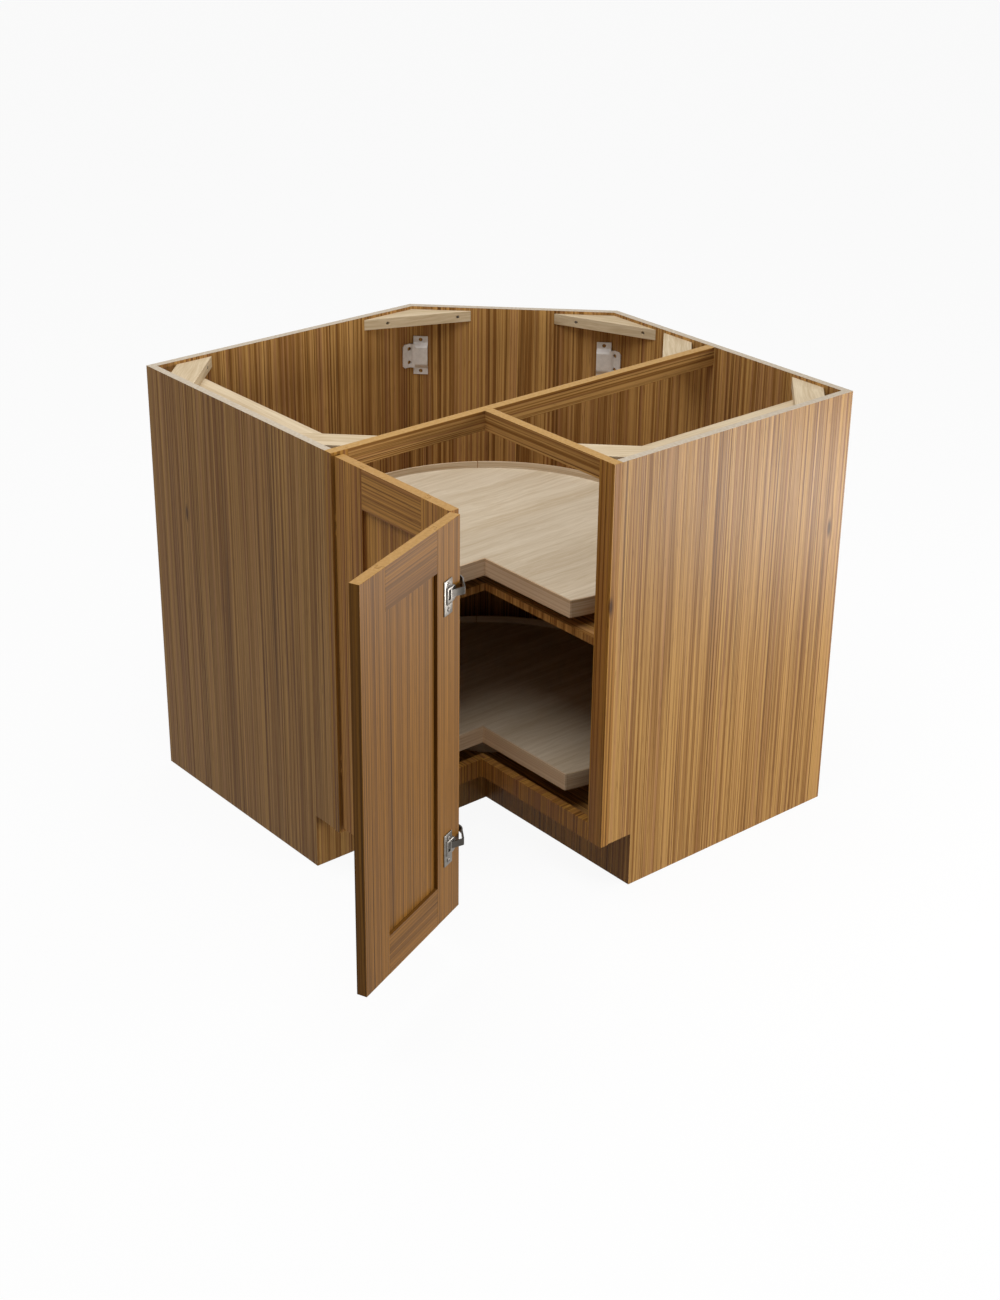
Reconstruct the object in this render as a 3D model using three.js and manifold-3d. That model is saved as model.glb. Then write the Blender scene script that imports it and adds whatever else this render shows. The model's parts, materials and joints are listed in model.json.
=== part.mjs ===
// Corner carousel cabinet: a five-sided plywood base cabinet for a room corner, open at the top,
// with two pie-cut turning trays and a two-leaf folding door in its square front notch.
// Millimetres, +Z up. Inside the carcass group the two walls are the planes x = 0 and y = 0,
// the cabinet fills +X and -Y, and the diagonal back cuts off the corner where the walls meet.
// The right half of the carcass is the left half mirrored in the diagonal.
import * as THREE from "three";
import { mergeVertices } from "three/addons/utils/BufferGeometryUtils.js";
import Module from "manifold-3d";

const wasm = await Module();
wasm.setup();

// ---- Carcass ----
const HEIGHT = 876.3; // floor to the top edges of the panels
const WALL_RUN = 956; // from the room corner, along a wall, to an end panel's outer face
const END_DEPTH = 608; // from a wall to the front of the face frame
const BACK_CLIP_RUN = 299; // along a wall, from the diagonal back to the front of the face frame
const PANEL = 15; // plywood of the panels, the floor and the toe boards
const FRAME = 19; // thickness of the face frame
const FRAME_WIDTH = 38; // width of the stiles and rails of the face frame
const TOE_HEIGHT = 112; // height of the notch in the end panels
const TOE_DEPTH = 76; // from the front of the face frame back to the toe boards
const FRAME_DROP = 2.3; // how far the face frame hangs below the top of the toe notch
const SHELF_TOP = 513.5;
const SHELF_SETBACK = 7; // from the back of the face frame to the shelf's front edges

// ---- Stretchers and corner blocks under the top edges ----
const BLOCK_DROP = 6.3; // from the panels' top edges down to the tops of the blocks
const BLOCK_THICKNESS = 22.5;
const BLOCK_LEG = 125;
const BLOCK_CLIP = 45; // inner corner cut off the blocks that fill a square corner
const STRETCHER_WIDTH = 76;
const STRETCHER_THICKNESS = 18;
const BLOCK_SCREW_INSETS = [0.125, 0.22]; // of the two screws, as shares of the block's long face
const SCREW_HEAD_R = 3.4; // of the bores that take the screws' heads
const SCREW_SHANK_R = 2.2; // and of those that take their shanks
const SCREW_SINK = 4.5; // from the long face down to a block screw's seat

// ---- Brackets that tie the diagonal back to the side backs ----
const BRACKET_DROP = 106.8; // from the panels' top edges down to a bracket's middle
const BRACKET_SHEET = 2;
const BRACKET_HEIGHT = 84;
const BRACKET_WIDTH = 30.5;
const BRACKET_EDGE = 3; // from the inner corner to the plate's near edge
const BRACKET_RISE = 7; // how far the middle stands off the panel
const BRACKET_TAB = 15; // length of the flat tab at each end
const BRACKET_SLOPE = 8; // length of the bend between a tab and the middle
const FLANGE_LENGTH = 26; // along the side back
const FLANGE_HEIGHT = 52;
const FLANGE_SCREW = 10; // from the inner corner to the flange screws
const FLANGE_SCREW_PITCH = 30;

// ---- Trays ----
const TRAY_RADIUS = 364;
const TRAY_INSET = 120; // from the front of the face frame back to the spin axis
const TRAY_NOTCH_GAP = 15; // from the front of the face frame back to the tray's notch edges
const RIM_WALL = 3.5;
const RIM_HEIGHT = 35;
const RIM_BELOW = 3; // how far the rim hangs below the deck
const DECK_THICKNESS = 18;
const RIM_STEPS = 72;
const RISER_HEIGHT = 24.3; // of the disc that lifts the lower tray over the face frame
const RISER_MARGIN = 3; // between the edges of the disc and of the bearing on it
const RISER_STEPS = 48;

// ---- Swivel bearings ----
const BEARING_HEIGHT = 26;
const BEARING_RADIUS = 80; // of the ring of balls
const BEARING_FLANGE = 21; // half the width of a race ring
const RACE_SHEET = 2;
const RACE_LAND = 9; // half the width of a race's raised band
const BALL_RADIUS = 4.5;
const BALL_COUNT = 12;
const BALL_GAP = 0.5;
const CAGE_SHEET = 1;
const CAGE_REACH = 6.5; // half the width of the ring that spaces the balls
const RACE_STEPS = 36;
const GROOVE_STEPS = 3;

// ---- Door leaves ----
const LEAF_THICKNESS = 19;
const LEAF_MEMBER = 76; // width of a leaf's stiles and rails
const LEAF_REVEAL = 6.3; // frame left showing beside a closed leaf
const TOP_REVEAL = 5.3; // above it
const BOTTOM_REVEAL = 10.3; // and below it
const LEAF_PANEL = 6.6;
const GROOVE_DEPTH = 10;
const TENON_GAP = 0.3; // left round every joint of a leaf
const PANEL_PLAY = 1.5; // between the panel's edge and the bottom of its groove

// ---- Hinges ----
const UPPER_HINGE_INSET = 131.5; // from a leaf's top end to its upper hinges
const LOWER_HINGE_INSET = 139; // and from its bottom end to the lower ones
const SWING_FROM_EDGE = 8; // the pivot's place in the first leaf
const SWING_FROM_BACK = 10;
const SWING_CLEARANCE = 13; // from the pivot to the front of the face frame
const POCKET_WIDTH = 38;
const POCKET_DEPTH = 15.5;
const POCKET_HEIGHT = 42;
const CUP_WALL = 1;
const PIN_R = 2;
const PIN_CLEARANCE = 0.4;
const BARREL_WALL = 1.4;
const BARREL_HEIGHT = 18;
const ARM_SHEET = 2.5;
const ARM_PLATE_HEIGHT = 50;
const ARM_PLATE_INSET = 2; // from the back of the face frame to the arm's plate
const ARM_FRONT_GAP = 2.3; // between the arm and the front of the face frame
const FOLD_GAP = 0.85; // from the fold axis to the edge and the outer face of each leaf
const FOLD_CLOSED = -90; // the second leaf's angle to the first when the door is shut
const FOLD_REST = -67.6; // and in the photographed pose
const FOLD_STRAP_R = 21.6; // inner radius of the fold arm's strap, about the fold axis
const FOLD_STRAP_SHEET = 2.2;
const FOLD_STRAP_HEIGHT = 13;
const FOLD_STRAP_RISE = 5; // from the plate's middle up to the strap's and the cup's
const FOLD_STRAP_ROOT = 38; // from the leaf's edge to where the strap leaves the plate
const FOLD_STRAP_BEND = [14.5, 18.5]; // the bend's place, from the leaf's edge and inner face
const FOLD_STRAP_MEET = 112; // angle about the fold axis at which the strap runs into its arc
const FOLD_TIP_CLOSED = 59; // the strap tip's angle above the first leaf when shut
const FOLD_PLATE_NEAR = 28.5; // from the leaf's edge to the plate
const FOLD_PLATE_WIDTH = 27;
const FOLD_PLATE_HEIGHT = 63;
const FOLD_PLATE_SHEET = 1.8;
const FOLD_PLATE_SCREW = 9; // from the plate's ends to its screws
const FOLD_DOME = { near: 20, width: 30, height: 30, rise: 3.5, corner: 8, depth: 4.5 };
const FOLD_CUP_R = 17.5;
const FOLD_CUP_DEPTH = 13.4;
const FOLD_CUP_EDGE = 3.7; // wood left between the bore and the leaf's free edge
const FOLD_CUP_STEPS = 32;
const FOLD_ARC_STEPS = 10;

const SEAT_GAP = 0.3; // between pieces that meet on a slanted or curved face

// ---- Planes and places that follow ----
const FRAME_BACK = END_DEPTH - FRAME;
const BACK_CLIP = END_DEPTH - BACK_CLIP_RUN; // how much of each wall the diagonal back cuts off
const END_INNER = WALL_RUN - PANEL;
const FRAME_BOTTOM = TOE_HEIGHT - FRAME_DROP;
const FLOOR_TOP = TOE_HEIGHT + PANEL;
const TOE_FRONT = END_DEPTH - TOE_DEPTH;
const CLIP_INNER = BACK_CLIP + PANEL * Math.SQRT2; // x - y on the diagonal back's inner face
const CLIP_SEAT = CLIP_INNER + SEAT_GAP * Math.SQRT2;
const BLOCK_TOP = HEIGHT - BLOCK_DROP;
const BLOCK_BOTTOM = BLOCK_TOP - BLOCK_THICKNESS;
const SPIN = END_DEPTH - TRAY_INSET; // the spin axis stands at (SPIN, -SPIN)
const NOTCH = TRAY_INSET - TRAY_NOTCH_GAP; // from the spin axis to a tray's notch edges
const SWING_X = END_DEPTH + SWING_CLEARANCE;
const SWING_Y = -WALL_RUN + LEAF_REVEAL + SWING_FROM_EDGE;
const SWING_FROM_FACE = LEAF_THICKNESS - SWING_FROM_BACK;
const LEAF_BOTTOM = FRAME_BOTTOM + BOTTOM_REVEAL;
const LEAF_TOP = HEIGHT - TOP_REVEAL;
const FACE_GAP = SWING_CLEARANCE - SWING_FROM_BACK; // between a shut leaf and the face frame
const LEAF_WIDTH = WALL_RUN - END_DEPTH - LEAF_REVEAL - FACE_GAP - LEAF_THICKNESS - 2 * FOLD_GAP;
const HINGE_HEIGHTS = {
  upper: LEAF_TOP - UPPER_HINGE_INSET,
  lower: LEAF_BOTTOM + LOWER_HINGE_INSET,
};
// the object's reference point: under the middle of the diagonal back's bottom edge
const REFERENCE = (BACK_CLIP + CLIP_INNER) / 4;

// ---- Materials ----
const material = (color, roughness, metalness = 0) =>
  new THREE.MeshStandardMaterial({ color, roughness, metalness });
const facedPly = () => material(0x8a6746, 0.6);
const backPly = () => material(0x7d5633, 0.65);
const palePly = () => material(0xcfc0ab, 0.7);
const hardwood = () => material(0xb98f56, 0.5);
const doorWood = () => material(0x9a7248, 0.55);
const rimWood = () => material(0xb9a78c, 0.6);
const zincSteel = () => material(0xa39a8f, 0.45, 0.8);
const nickelSteel = () => material(0x8a8580, 0.35, 0.9);
const ballSteel = () => material(0xc0c2c4, 0.2, 1);

// ---- Shape helpers ----
const rad = THREE.MathUtils.degToRad;
const mirrored = ([a, b]) => [-b, -a];

function bare(geometry) {
  const plain = geometry.index ? geometry.clone() : mergeVertices(stripped(geometry.clone()));
  return mergeVertices(stripped(plain));
}

function stripped(geometry) {
  geometry.deleteAttribute("normal");
  geometry.deleteAttribute("uv");
  return geometry;
}

function solid(geometry) {
  const closed = bare(geometry);
  const mesh = new wasm.Mesh({
    numProp: 3,
    vertProperties: new Float32Array(closed.attributes.position.array),
    triVerts: new Uint32Array(closed.index.array),
  });
  return new wasm.Manifold(mesh);
}

function geometryOf(manifold) {
  const mesh = manifold.getMesh();
  const geometry = new THREE.BufferGeometry();
  geometry.setAttribute("position", new THREE.BufferAttribute(mesh.vertProperties, 3));
  geometry.setIndex(new THREE.BufferAttribute(mesh.triVerts, 1));
  return geometry;
}

const joined = (...parts) => geometryOf(parts.map(solid).reduce((a, b) => a.add(b)));

const cutFrom = (body, ...tools) =>
  geometryOf(tools.map(solid).reduce((rest, tool) => rest.subtract(tool), solid(body)));

// a box between three pairs of limits
function block([x0, x1], [y0, y1], [z0, z1]) {
  const geometry = new THREE.BoxGeometry(x1 - x0, y1 - y0, z1 - z0);
  return geometry.translate((x0 + x1) / 2, (y0 + y1) / 2, (z0 + z1) / 2);
}

// a plan outline, or a finished shape, stood up between two heights
function slab(outline, [z0, z1], curveSegments = 12) {
  const shape = Array.isArray(outline)
    ? new THREE.Shape(outline.map(([x, y]) => new THREE.Vector2(x, y)))
    : outline;
  const geometry = new THREE.ExtrudeGeometry(shape, {
    depth: z1 - z0,
    bevelEnabled: false,
    curveSegments,
  });
  return geometry.translate(0, 0, z0);
}

// an upright round bar
function rod(radius, [x, y], [z0, z1], steps = 12) {
  const geometry = new THREE.CylinderGeometry(radius, radius, z1 - z0, steps);
  return geometry.rotateX(Math.PI / 2).translate(x, y, (z0 + z1) / 2);
}

// the closed outline of a bent sheet: a line of points, thickened to its left
function sheetOutline(points, thickness) {
  const line = points.map(([x, y]) => new THREE.Vector2(x, y));
  const offset = line.map((point, i) => {
    const before = line[Math.max(i - 1, 0)];
    const after = line[Math.min(i + 1, line.length - 1)];
    const first = point.clone().sub(i > 0 ? before : point);
    const second = after.clone().sub(point);
    const a = (i > 0 ? first : second).clone().normalize();
    const b = (i < line.length - 1 ? second : first).clone().normalize();
    const normal = new THREE.Vector2(-a.y - b.y, a.x + b.x).normalize();
    const reach = thickness / Math.max(normal.dot(new THREE.Vector2(-a.y, a.x)), 0.2);
    return point.clone().addScaledVector(normal, reach);
  });
  return [...line, ...offset.reverse()].map((point) => [point.x, point.y]);
}

function piece(name, geometry, look) {
  const mesh = new THREE.Mesh(geometry, look);
  mesh.name = name;
  return mesh;
}

// stands an object on a point, with its local x and y along two given plan directions
function stand(object, [x, y, z], along, across) {
  const a = new THREE.Vector3(along[0], along[1], 0);
  const b = new THREE.Vector3(across[0], across[1], 0);
  const basis = new THREE.Matrix4().makeBasis(a, b, a.clone().cross(b));
  object.quaternion.setFromRotationMatrix(basis);
  object.position.set(x, y, z);
  return object;
}

// ---- Carcass panels ----

// an end panel with its toe notch: x runs from the wall to the face frame, y is its thickness
function endPanelGeometry() {
  const outline = [
    [0, 0],
    [TOE_FRONT, 0],
    [TOE_FRONT, TOE_HEIGHT],
    [FRAME_BACK, TOE_HEIGHT],
    [FRAME_BACK, HEIGHT],
    [0, HEIGHT],
  ];
  return slab(outline, [0, PANEL]).rotateX(Math.PI / 2).translate(0, PANEL, 0);
}

function endPanels() {
  const left = piece("left_end_panel", endPanelGeometry(), facedPly());
  stand(left, [0, -WALL_RUN, 0], [1, 0], [0, 1]);
  const right = piece("right_end_panel", endPanelGeometry(), facedPly());
  stand(right, [WALL_RUN - PANEL, 0, 0], [0, -1], [1, 0]);
  return [left, right];
}

// the side backs are mitred where they meet the diagonal back
function backPanels() {
  const mitre = CLIP_INNER - PANEL;
  const leftOutline = [
    [0, -END_INNER],
    [PANEL, -END_INNER],
    [PANEL, -mitre],
    [0, -BACK_CLIP],
  ];
  const rightOutline = leftOutline.map(([x, y]) => [-y, -x]).reverse();
  const shift = SEAT_GAP;
  const diagonalOutline = [
    [0, -BACK_CLIP + shift],
    [PANEL, -mitre + shift],
    [mitre - shift, -PANEL],
    [BACK_CLIP - shift, 0],
  ];
  const heights = [0, HEIGHT];
  return [
    piece("left_back_panel", slab(leftOutline, heights), backPly()),
    piece("right_back_panel", slab(rightOutline, heights), backPly()),
    piece("diagonal_back_panel", slab(diagonalOutline, heights), backPly()),
  ];
}

// the L-shaped outline of the floor and the shelf, with front edges on x = -y = front
function deckOutline(front) {
  const mitre = CLIP_SEAT - PANEL;
  return [
    [PANEL, -END_INNER],
    [front, -END_INNER],
    [front, -front],
    [END_INNER, -front],
    [END_INNER, -PANEL],
    [mitre, -PANEL],
    [PANEL, -mitre],
  ];
}

function floorAndShelf() {
  const floor = slab(deckOutline(FRAME_BACK), [TOE_HEIGHT, FLOOR_TOP]);
  const shelf = slab(deckOutline(FRAME_BACK - SHELF_SETBACK), [SHELF_TOP - PANEL, SHELF_TOP]);
  return [
    piece("cabinet_floor", floor, backPly()),
    piece("middle_shelf", shelf, backPly()),
  ];
}

function toeBoards() {
  const thickness = [TOE_FRONT - PANEL, TOE_FRONT];
  const heights = [0, TOE_HEIGHT];
  const left = block(thickness, [-END_INNER, -TOE_FRONT + PANEL], heights);
  const right = block([TOE_FRONT, END_INNER], mirrored(thickness), heights);
  return [
    piece("left_toe_board", left, backPly()),
    piece("right_toe_board", right, backPly()),
  ];
}

// ---- Face frame: the left top rail runs on to the right back panel ----
function faceFrame() {
  const thickness = [FRAME_BACK, END_DEPTH];
  const stileRun = [-WALL_RUN, -WALL_RUN + FRAME_WIDTH];
  const stileHeights = [FRAME_BOTTOM, HEIGHT];
  const topHeights = [HEIGHT - FRAME_WIDTH, HEIGHT];
  const bottomHeights = [FRAME_BOTTOM, FRAME_BOTTOM + FRAME_WIDTH];
  const railEnd = stileRun[1];
  const rightRail = [END_DEPTH, -railEnd];
  const parts = {
    left_stile: block(thickness, stileRun, stileHeights),
    right_stile: block(mirrored(stileRun), mirrored(thickness), stileHeights),
    cross_top_rail: block(thickness, [railEnd, -PANEL], topHeights),
    right_top_rail: block(rightRail, mirrored(thickness), topHeights),
    left_bottom_rail: block(thickness, [railEnd, -FRAME_BACK], bottomHeights),
    right_bottom_rail: block(rightRail, mirrored(thickness), bottomHeights),
  };
  return Object.entries(parts).map(([name, geometry]) => piece(name, geometry, hardwood()));
}

function stretchers() {
  const run = [PANEL, FRAME_BACK];
  const width = [-END_INNER, -END_INNER + STRETCHER_WIDTH];
  const heights = [BLOCK_BOTTOM - STRETCHER_THICKNESS, BLOCK_BOTTOM];
  return [
    piece("left_stretcher", block(run, width, heights), palePly()),
    piece("right_stretcher", block(mirrored(width), mirrored(run), heights), palePly()),
  ];
}

// ---- Corner blocks: each fills a corner, between two plan directions ----
const DIAGONAL = [Math.SQRT1_2, Math.SQRT1_2];
const BLOCK_SEAT = CLIP_SEAT - PANEL; // where the diagonal blocks' corners lie along a wall
const CORNER_BLOCKS = {
  rear_left: { corner: [PANEL, -END_INNER], sides: [[1, 0], [0, 1]], clip: BLOCK_CLIP },
  rear_right: { corner: [END_INNER, -PANEL], sides: [[0, -1], [-1, 0]], clip: BLOCK_CLIP },
  front_left: { corner: [FRAME_BACK, -END_INNER], sides: [[0, 1], [-1, 0]], clip: BLOCK_CLIP },
  front_right: { corner: [END_INNER, -FRAME_BACK], sides: [[-1, 0], [0, 1]], clip: BLOCK_CLIP },
  cross_rail: { corner: [FRAME_BACK, -PANEL], sides: [[-1, 0], [0, -1]], clip: BLOCK_CLIP },
  diagonal_left: { corner: [PANEL, -BLOCK_SEAT], sides: [DIAGONAL, [0, -1]], clip: 0 },
  diagonal_right: { corner: [BLOCK_SEAT, -PANEL], sides: [[1, 0], DIAGONAL.map((v) => -v)], clip: 0 },
};

const shifted = (point, direction, distance) =>
  point.map((value, i) => value + direction[i] * distance);

function blockOutline({ corner, sides, clip }) {
  const tips = sides.map((side) => shifted(corner, side, BLOCK_LEG));
  const roots = clip ? sides.map((side) => shifted(corner, side, clip)) : [corner];
  const outline = [tips[0], tips[1], ...roots.reverse()];
  const area = THREE.ShapeUtils.area(outline.map(([x, y]) => ({ x, y })));
  return area > 0 ? outline : outline.reverse();
}

// the two screws of a block: each goes from the long face straight at one of the panels
function blockScrewPlaces({ corner, sides }) {
  return sides.map((side, i) => {
    const other = sides[1 - i];
    const tip = shifted(corner, side, BLOCK_LEG);
    const otherTip = shifted(corner, other, BLOCK_LEG);
    const share = BLOCK_SCREW_INSETS[i];
    const start = tip.map((value, axis) => value * (1 - share) + otherTip[axis] * share);
    const square = Math.sign(side[0] * other[1] - side[1] * other[0]);
    const inward = [-side[1] * square, side[0] * square];
    const away = (start[0] - corner[0]) * inward[0] + (start[1] - corner[1]) * inward[1];
    return { start, inward, away };
  });
}

// turns a geometry made along +Z to run level along a plan direction
function laid(geometry, [x, y], z, [dx, dy]) {
  const turn = new THREE.Quaternion().setFromUnitVectors(
    new THREE.Vector3(0, 0, 1),
    new THREE.Vector3(dx, dy, 0),
  );
  return geometry.applyQuaternion(turn).translate(x, y, z);
}

function cornerBlocks() {
  const middle = (BLOCK_TOP + BLOCK_BOTTOM) / 2;
  return Object.entries(CORNER_BLOCKS).map(([place, spec]) => {
    const holes = blockScrewPlaces(spec).flatMap(({ start, inward, away }) => {
      const seat = shifted(start, inward, SCREW_SINK);
      const headHole = rod(SCREW_HEAD_R, [0, 0], [-BLOCK_LEG, 0]);
      const shankHole = rod(SCREW_SHANK_R, [0, 0], [-1, away - SCREW_SINK + 1]);
      return [laid(headHole, seat, middle, inward), laid(shankHole, seat, middle, inward)];
    });
    const body = slab(blockOutline(spec), [BLOCK_BOTTOM, BLOCK_TOP]);
    return piece(`${place}_block`, cutFrom(body, ...holes), palePly());
  });
}

// ---- Brackets: local x along the diagonal from the inner corner, y into the cabinet ----
function bracketGeometry() {
  const half = BRACKET_HEIGHT / 2;
  const ridge = half - BRACKET_TAB;
  const flat = ridge - BRACKET_SLOPE;
  const profile = [
    [-half, SEAT_GAP],
    [-ridge, SEAT_GAP],
    [-flat, SEAT_GAP + BRACKET_RISE],
    [flat, SEAT_GAP + BRACKET_RISE],
    [ridge, SEAT_GAP],
    [half, SEAT_GAP],
  ];
  const plate = slab(sheetOutline(profile, BRACKET_SHEET), [0, BRACKET_WIDTH]);
  plate.applyMatrix4(new THREE.Matrix4().set(0, 0, 1, BRACKET_EDGE, 0, 1, 0, 0, -1, 0, 0, 0, 0, 0, 0, 1));
  const wall = [-Math.SQRT1_2, Math.SQRT1_2];
  const foot = [wall[1] * SEAT_GAP, -wall[0] * SEAT_GAP];
  const flangeLine = [
    [BRACKET_EDGE + BRACKET_SHEET, SEAT_GAP + BRACKET_RISE],
    [BRACKET_EDGE, SEAT_GAP + BRACKET_RISE],
    shifted(foot, wall, BRACKET_RISE),
    shifted(foot, wall, FLANGE_LENGTH),
  ];
  const halfFlange = FLANGE_HEIGHT / 2;
  const flange = slab(
    sheetOutline(flangeLine.reverse(), BRACKET_SHEET),
    [-halfFlange, halfFlange],
  );
  return { plate, flange, wall, foot };
}

// the screw holes: one through each tab of the plate, two through the flange
function bracketHoles(wall, foot) {
  const drill = () => rod(SCREW_SHANK_R, [0, 0], [-BRACKET_RISE, BRACKET_RISE]);
  const tabScrew = (BRACKET_HEIGHT - BRACKET_TAB) / 2;
  const plateMiddle = BRACKET_EDGE + BRACKET_WIDTH / 2;
  const flangePlace = shifted(foot, wall, FLANGE_SCREW);
  return [-1, 1].flatMap((sign) => [
    laid(drill(), [plateMiddle, 0], sign * tabScrew, [0, 1]),
    laid(drill(), flangePlace, (sign * FLANGE_SCREW_PITCH) / 2, [wall[1], -wall[0]]),
  ]);
}

function panelBrackets() {
  const inward = [Math.SQRT1_2, -Math.SQRT1_2];
  const ends = {
    left: { corner: [PANEL, PANEL - CLIP_INNER], along: DIAGONAL },
    right: { corner: [CLIP_INNER - PANEL, -PANEL], along: DIAGONAL.map((v) => -v) },
  };
  return Object.entries(ends).map(([side, { corner, along }]) => {
    const { plate, flange, wall, foot } = bracketGeometry();
    const geometry = cutFrom(joined(plate, flange), ...bracketHoles(wall, foot));
    const mesh = piece(`${side}_panel_bracket`, geometry, zincSteel());
    return stand(mesh, [...corner, HEIGHT - BRACKET_DROP], along, inward);
  });
}

// ---- Swivel bearings: two mirrored pressed race rings with balls between them ----

// radius and height of one race ring's sheet, from its inner flange over the groove
function raceProfile() {
  const ballHeight = BEARING_HEIGHT / 2;
  const grooveR = BALL_RADIUS + BALL_GAP;
  const land = ballHeight - RACE_SHEET;
  const drop = ballHeight - land;
  const mouth = Math.sqrt(grooveR ** 2 - drop ** 2);
  const half = Math.acos(drop / grooveR);
  const groove = Array.from({ length: GROOVE_STEPS + 1 }, (_, i) => {
    const angle = -half + (2 * half * i) / GROOVE_STEPS;
    return [grooveR * Math.sin(angle), ballHeight - grooveR * Math.cos(angle)];
  });
  const shoulder = Math.max(RACE_LAND, mouth + RACE_SHEET);
  const top = [
    [-BEARING_FLANGE, RACE_SHEET],
    [-shoulder - RACE_SHEET, RACE_SHEET],
    [-shoulder, land],
    ...groove,
    [shoulder, land],
    [shoulder + RACE_SHEET, RACE_SHEET],
    [BEARING_FLANGE, RACE_SHEET],
  ];
  const under = sheetOutline(top, -RACE_SHEET).slice(top.length);
  return [...top, ...under.map(([r, z]) => [r, Math.max(z, 0)])];
}

function raceGeometry() {
  const points = raceProfile().map(([r, z]) => new THREE.Vector2(BEARING_RADIUS + r, z));
  if (THREE.ShapeUtils.area(points) < 0) {
    points.reverse();
  }
  points.push(points[0].clone());
  return new THREE.LatheGeometry(points, RACE_STEPS).rotateX(Math.PI / 2);
}

// the balls in the flat ring that spaces them
function ballCage() {
  const balls = Array.from({ length: BALL_COUNT }, (_, i) => {
    const angle = (2 * Math.PI * i) / BALL_COUNT;
    const ball = new THREE.IcosahedronGeometry(BALL_RADIUS, 1);
    return ball.translate(BEARING_RADIUS * Math.cos(angle), BEARING_RADIUS * Math.sin(angle), 0);
  });
  const half = CAGE_SHEET / 2;
  const ring = [
    [BEARING_RADIUS - CAGE_REACH, -half],
    [BEARING_RADIUS + CAGE_REACH, -half],
    [BEARING_RADIUS + CAGE_REACH, half],
    [BEARING_RADIUS - CAGE_REACH, half],
    [BEARING_RADIUS - CAGE_REACH, -half],
  ].map(([r, z]) => new THREE.Vector2(r, z));
  const cage = new THREE.LatheGeometry(ring, RACE_STEPS).rotateX(Math.PI / 2);
  return joined(cage, ...balls);
}

// ---- Trays: local origin on the spin axis, at the height of the bearing's foot ----

// a disc with the square notch towards +x, -y; the notch edges stand off by `notch`
function pieShape(radius, notch) {
  const shape = new THREE.Shape();
  const reach = Math.asin(notch / radius);
  shape.moveTo(notch, -notch);
  shape.lineTo(radius * Math.cos(reach), -notch);
  shape.absarc(0, 0, radius, -reach, Math.PI * 1.5 + reach, false);
  shape.closePath();
  return shape;
}

// the bent strip round the tray, ending behind the two straight strips
function rimShape() {
  const inner = TRAY_RADIUS - RIM_WALL;
  const end = NOTCH - RIM_WALL - SEAT_GAP;
  const outerReach = Math.asin(end / TRAY_RADIUS);
  const innerReach = Math.asin(end / inner);
  const shape = new THREE.Shape();
  shape.absarc(0, 0, TRAY_RADIUS, -outerReach, Math.PI * 1.5 + outerReach, false);
  shape.absarc(0, 0, inner, Math.PI * 1.5 + innerReach, -innerReach, true);
  shape.closePath();
  return shape;
}

// a straight strip along one notch edge, from `start` out to the tray's outer face
function fasciaOutline(start) {
  const outward = (x) => Math.sqrt(TRAY_RADIUS ** 2 - x ** 2);
  return [
    [NOTCH - RIM_WALL, -outward(NOTCH - RIM_WALL)],
    [NOTCH, -outward(NOTCH)],
    [NOTCH, -start],
    [NOTCH - RIM_WALL, -start],
  ];
}

// the plywood disc under the lower bearing
function trayRiser() {
  const radius = BEARING_RADIUS + BEARING_FLANGE + RISER_MARGIN;
  const disc = rod(radius, [SPIN, -SPIN], [FLOOR_TOP, FLOOR_TOP + RISER_HEIGHT], RISER_STEPS);
  return piece("lower_tray_riser", disc, palePly());
}

function tray(level, seat) {
  const deckBottom = BEARING_HEIGHT;
  const rimBottom = deckBottom - RIM_BELOW;
  const rimHeights = [rimBottom, rimBottom + RIM_HEIGHT];
  const deckShape = pieShape(TRAY_RADIUS - RIM_WALL - SEAT_GAP, NOTCH - RIM_WALL - SEAT_GAP);
  const deck = slab(deckShape, [deckBottom, deckBottom + DECK_THICKNESS], RIM_STEPS);
  const rim = slab(rimShape(), rimHeights, RIM_STEPS);
  const leftFascia = slab(fasciaOutline(NOTCH - RIM_WALL), rimHeights);
  const rightOutline = fasciaOutline(NOTCH + SEAT_GAP).map(([x, y]) => [-y, -x]).reverse();
  const rightFascia = slab(rightOutline, rimHeights);
  const upperRace = raceGeometry().rotateX(Math.PI).translate(0, 0, BEARING_HEIGHT);
  const balls = ballCage().translate(0, 0, BEARING_HEIGHT / 2);
  const group = new THREE.Group();
  group.position.set(SPIN, -SPIN, seat);
  group.add(
    piece(`${level}_tray_deck`, deck, palePly()),
    piece(`${level}_tray_rim`, rim, rimWood()),
    piece(`${level}_tray_left_fascia`, leftFascia, rimWood()),
    piece(`${level}_tray_right_fascia`, rightFascia, rimWood()),
    piece(`${level}_bearing_top_race`, upperRace, zincSteel()),
    piece(`${level}_bearing_bottom_race`, raceGeometry(), zincSteel()),
    piece(`${level}_bearing_balls`, balls, ballSteel()),
  );
  return group;
}

// ---- Door leaves: local x from the hinge edge, y from the outer face inwards ----

const CORE = [(LEAF_THICKNESS - LEAF_PANEL) / 2, (LEAF_THICKNESS + LEAF_PANEL) / 2];
const GROOVE = [CORE[0] - TENON_GAP, CORE[1] + TENON_GAP];
const THROUGH = [0, LEAF_THICKNESS];

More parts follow.
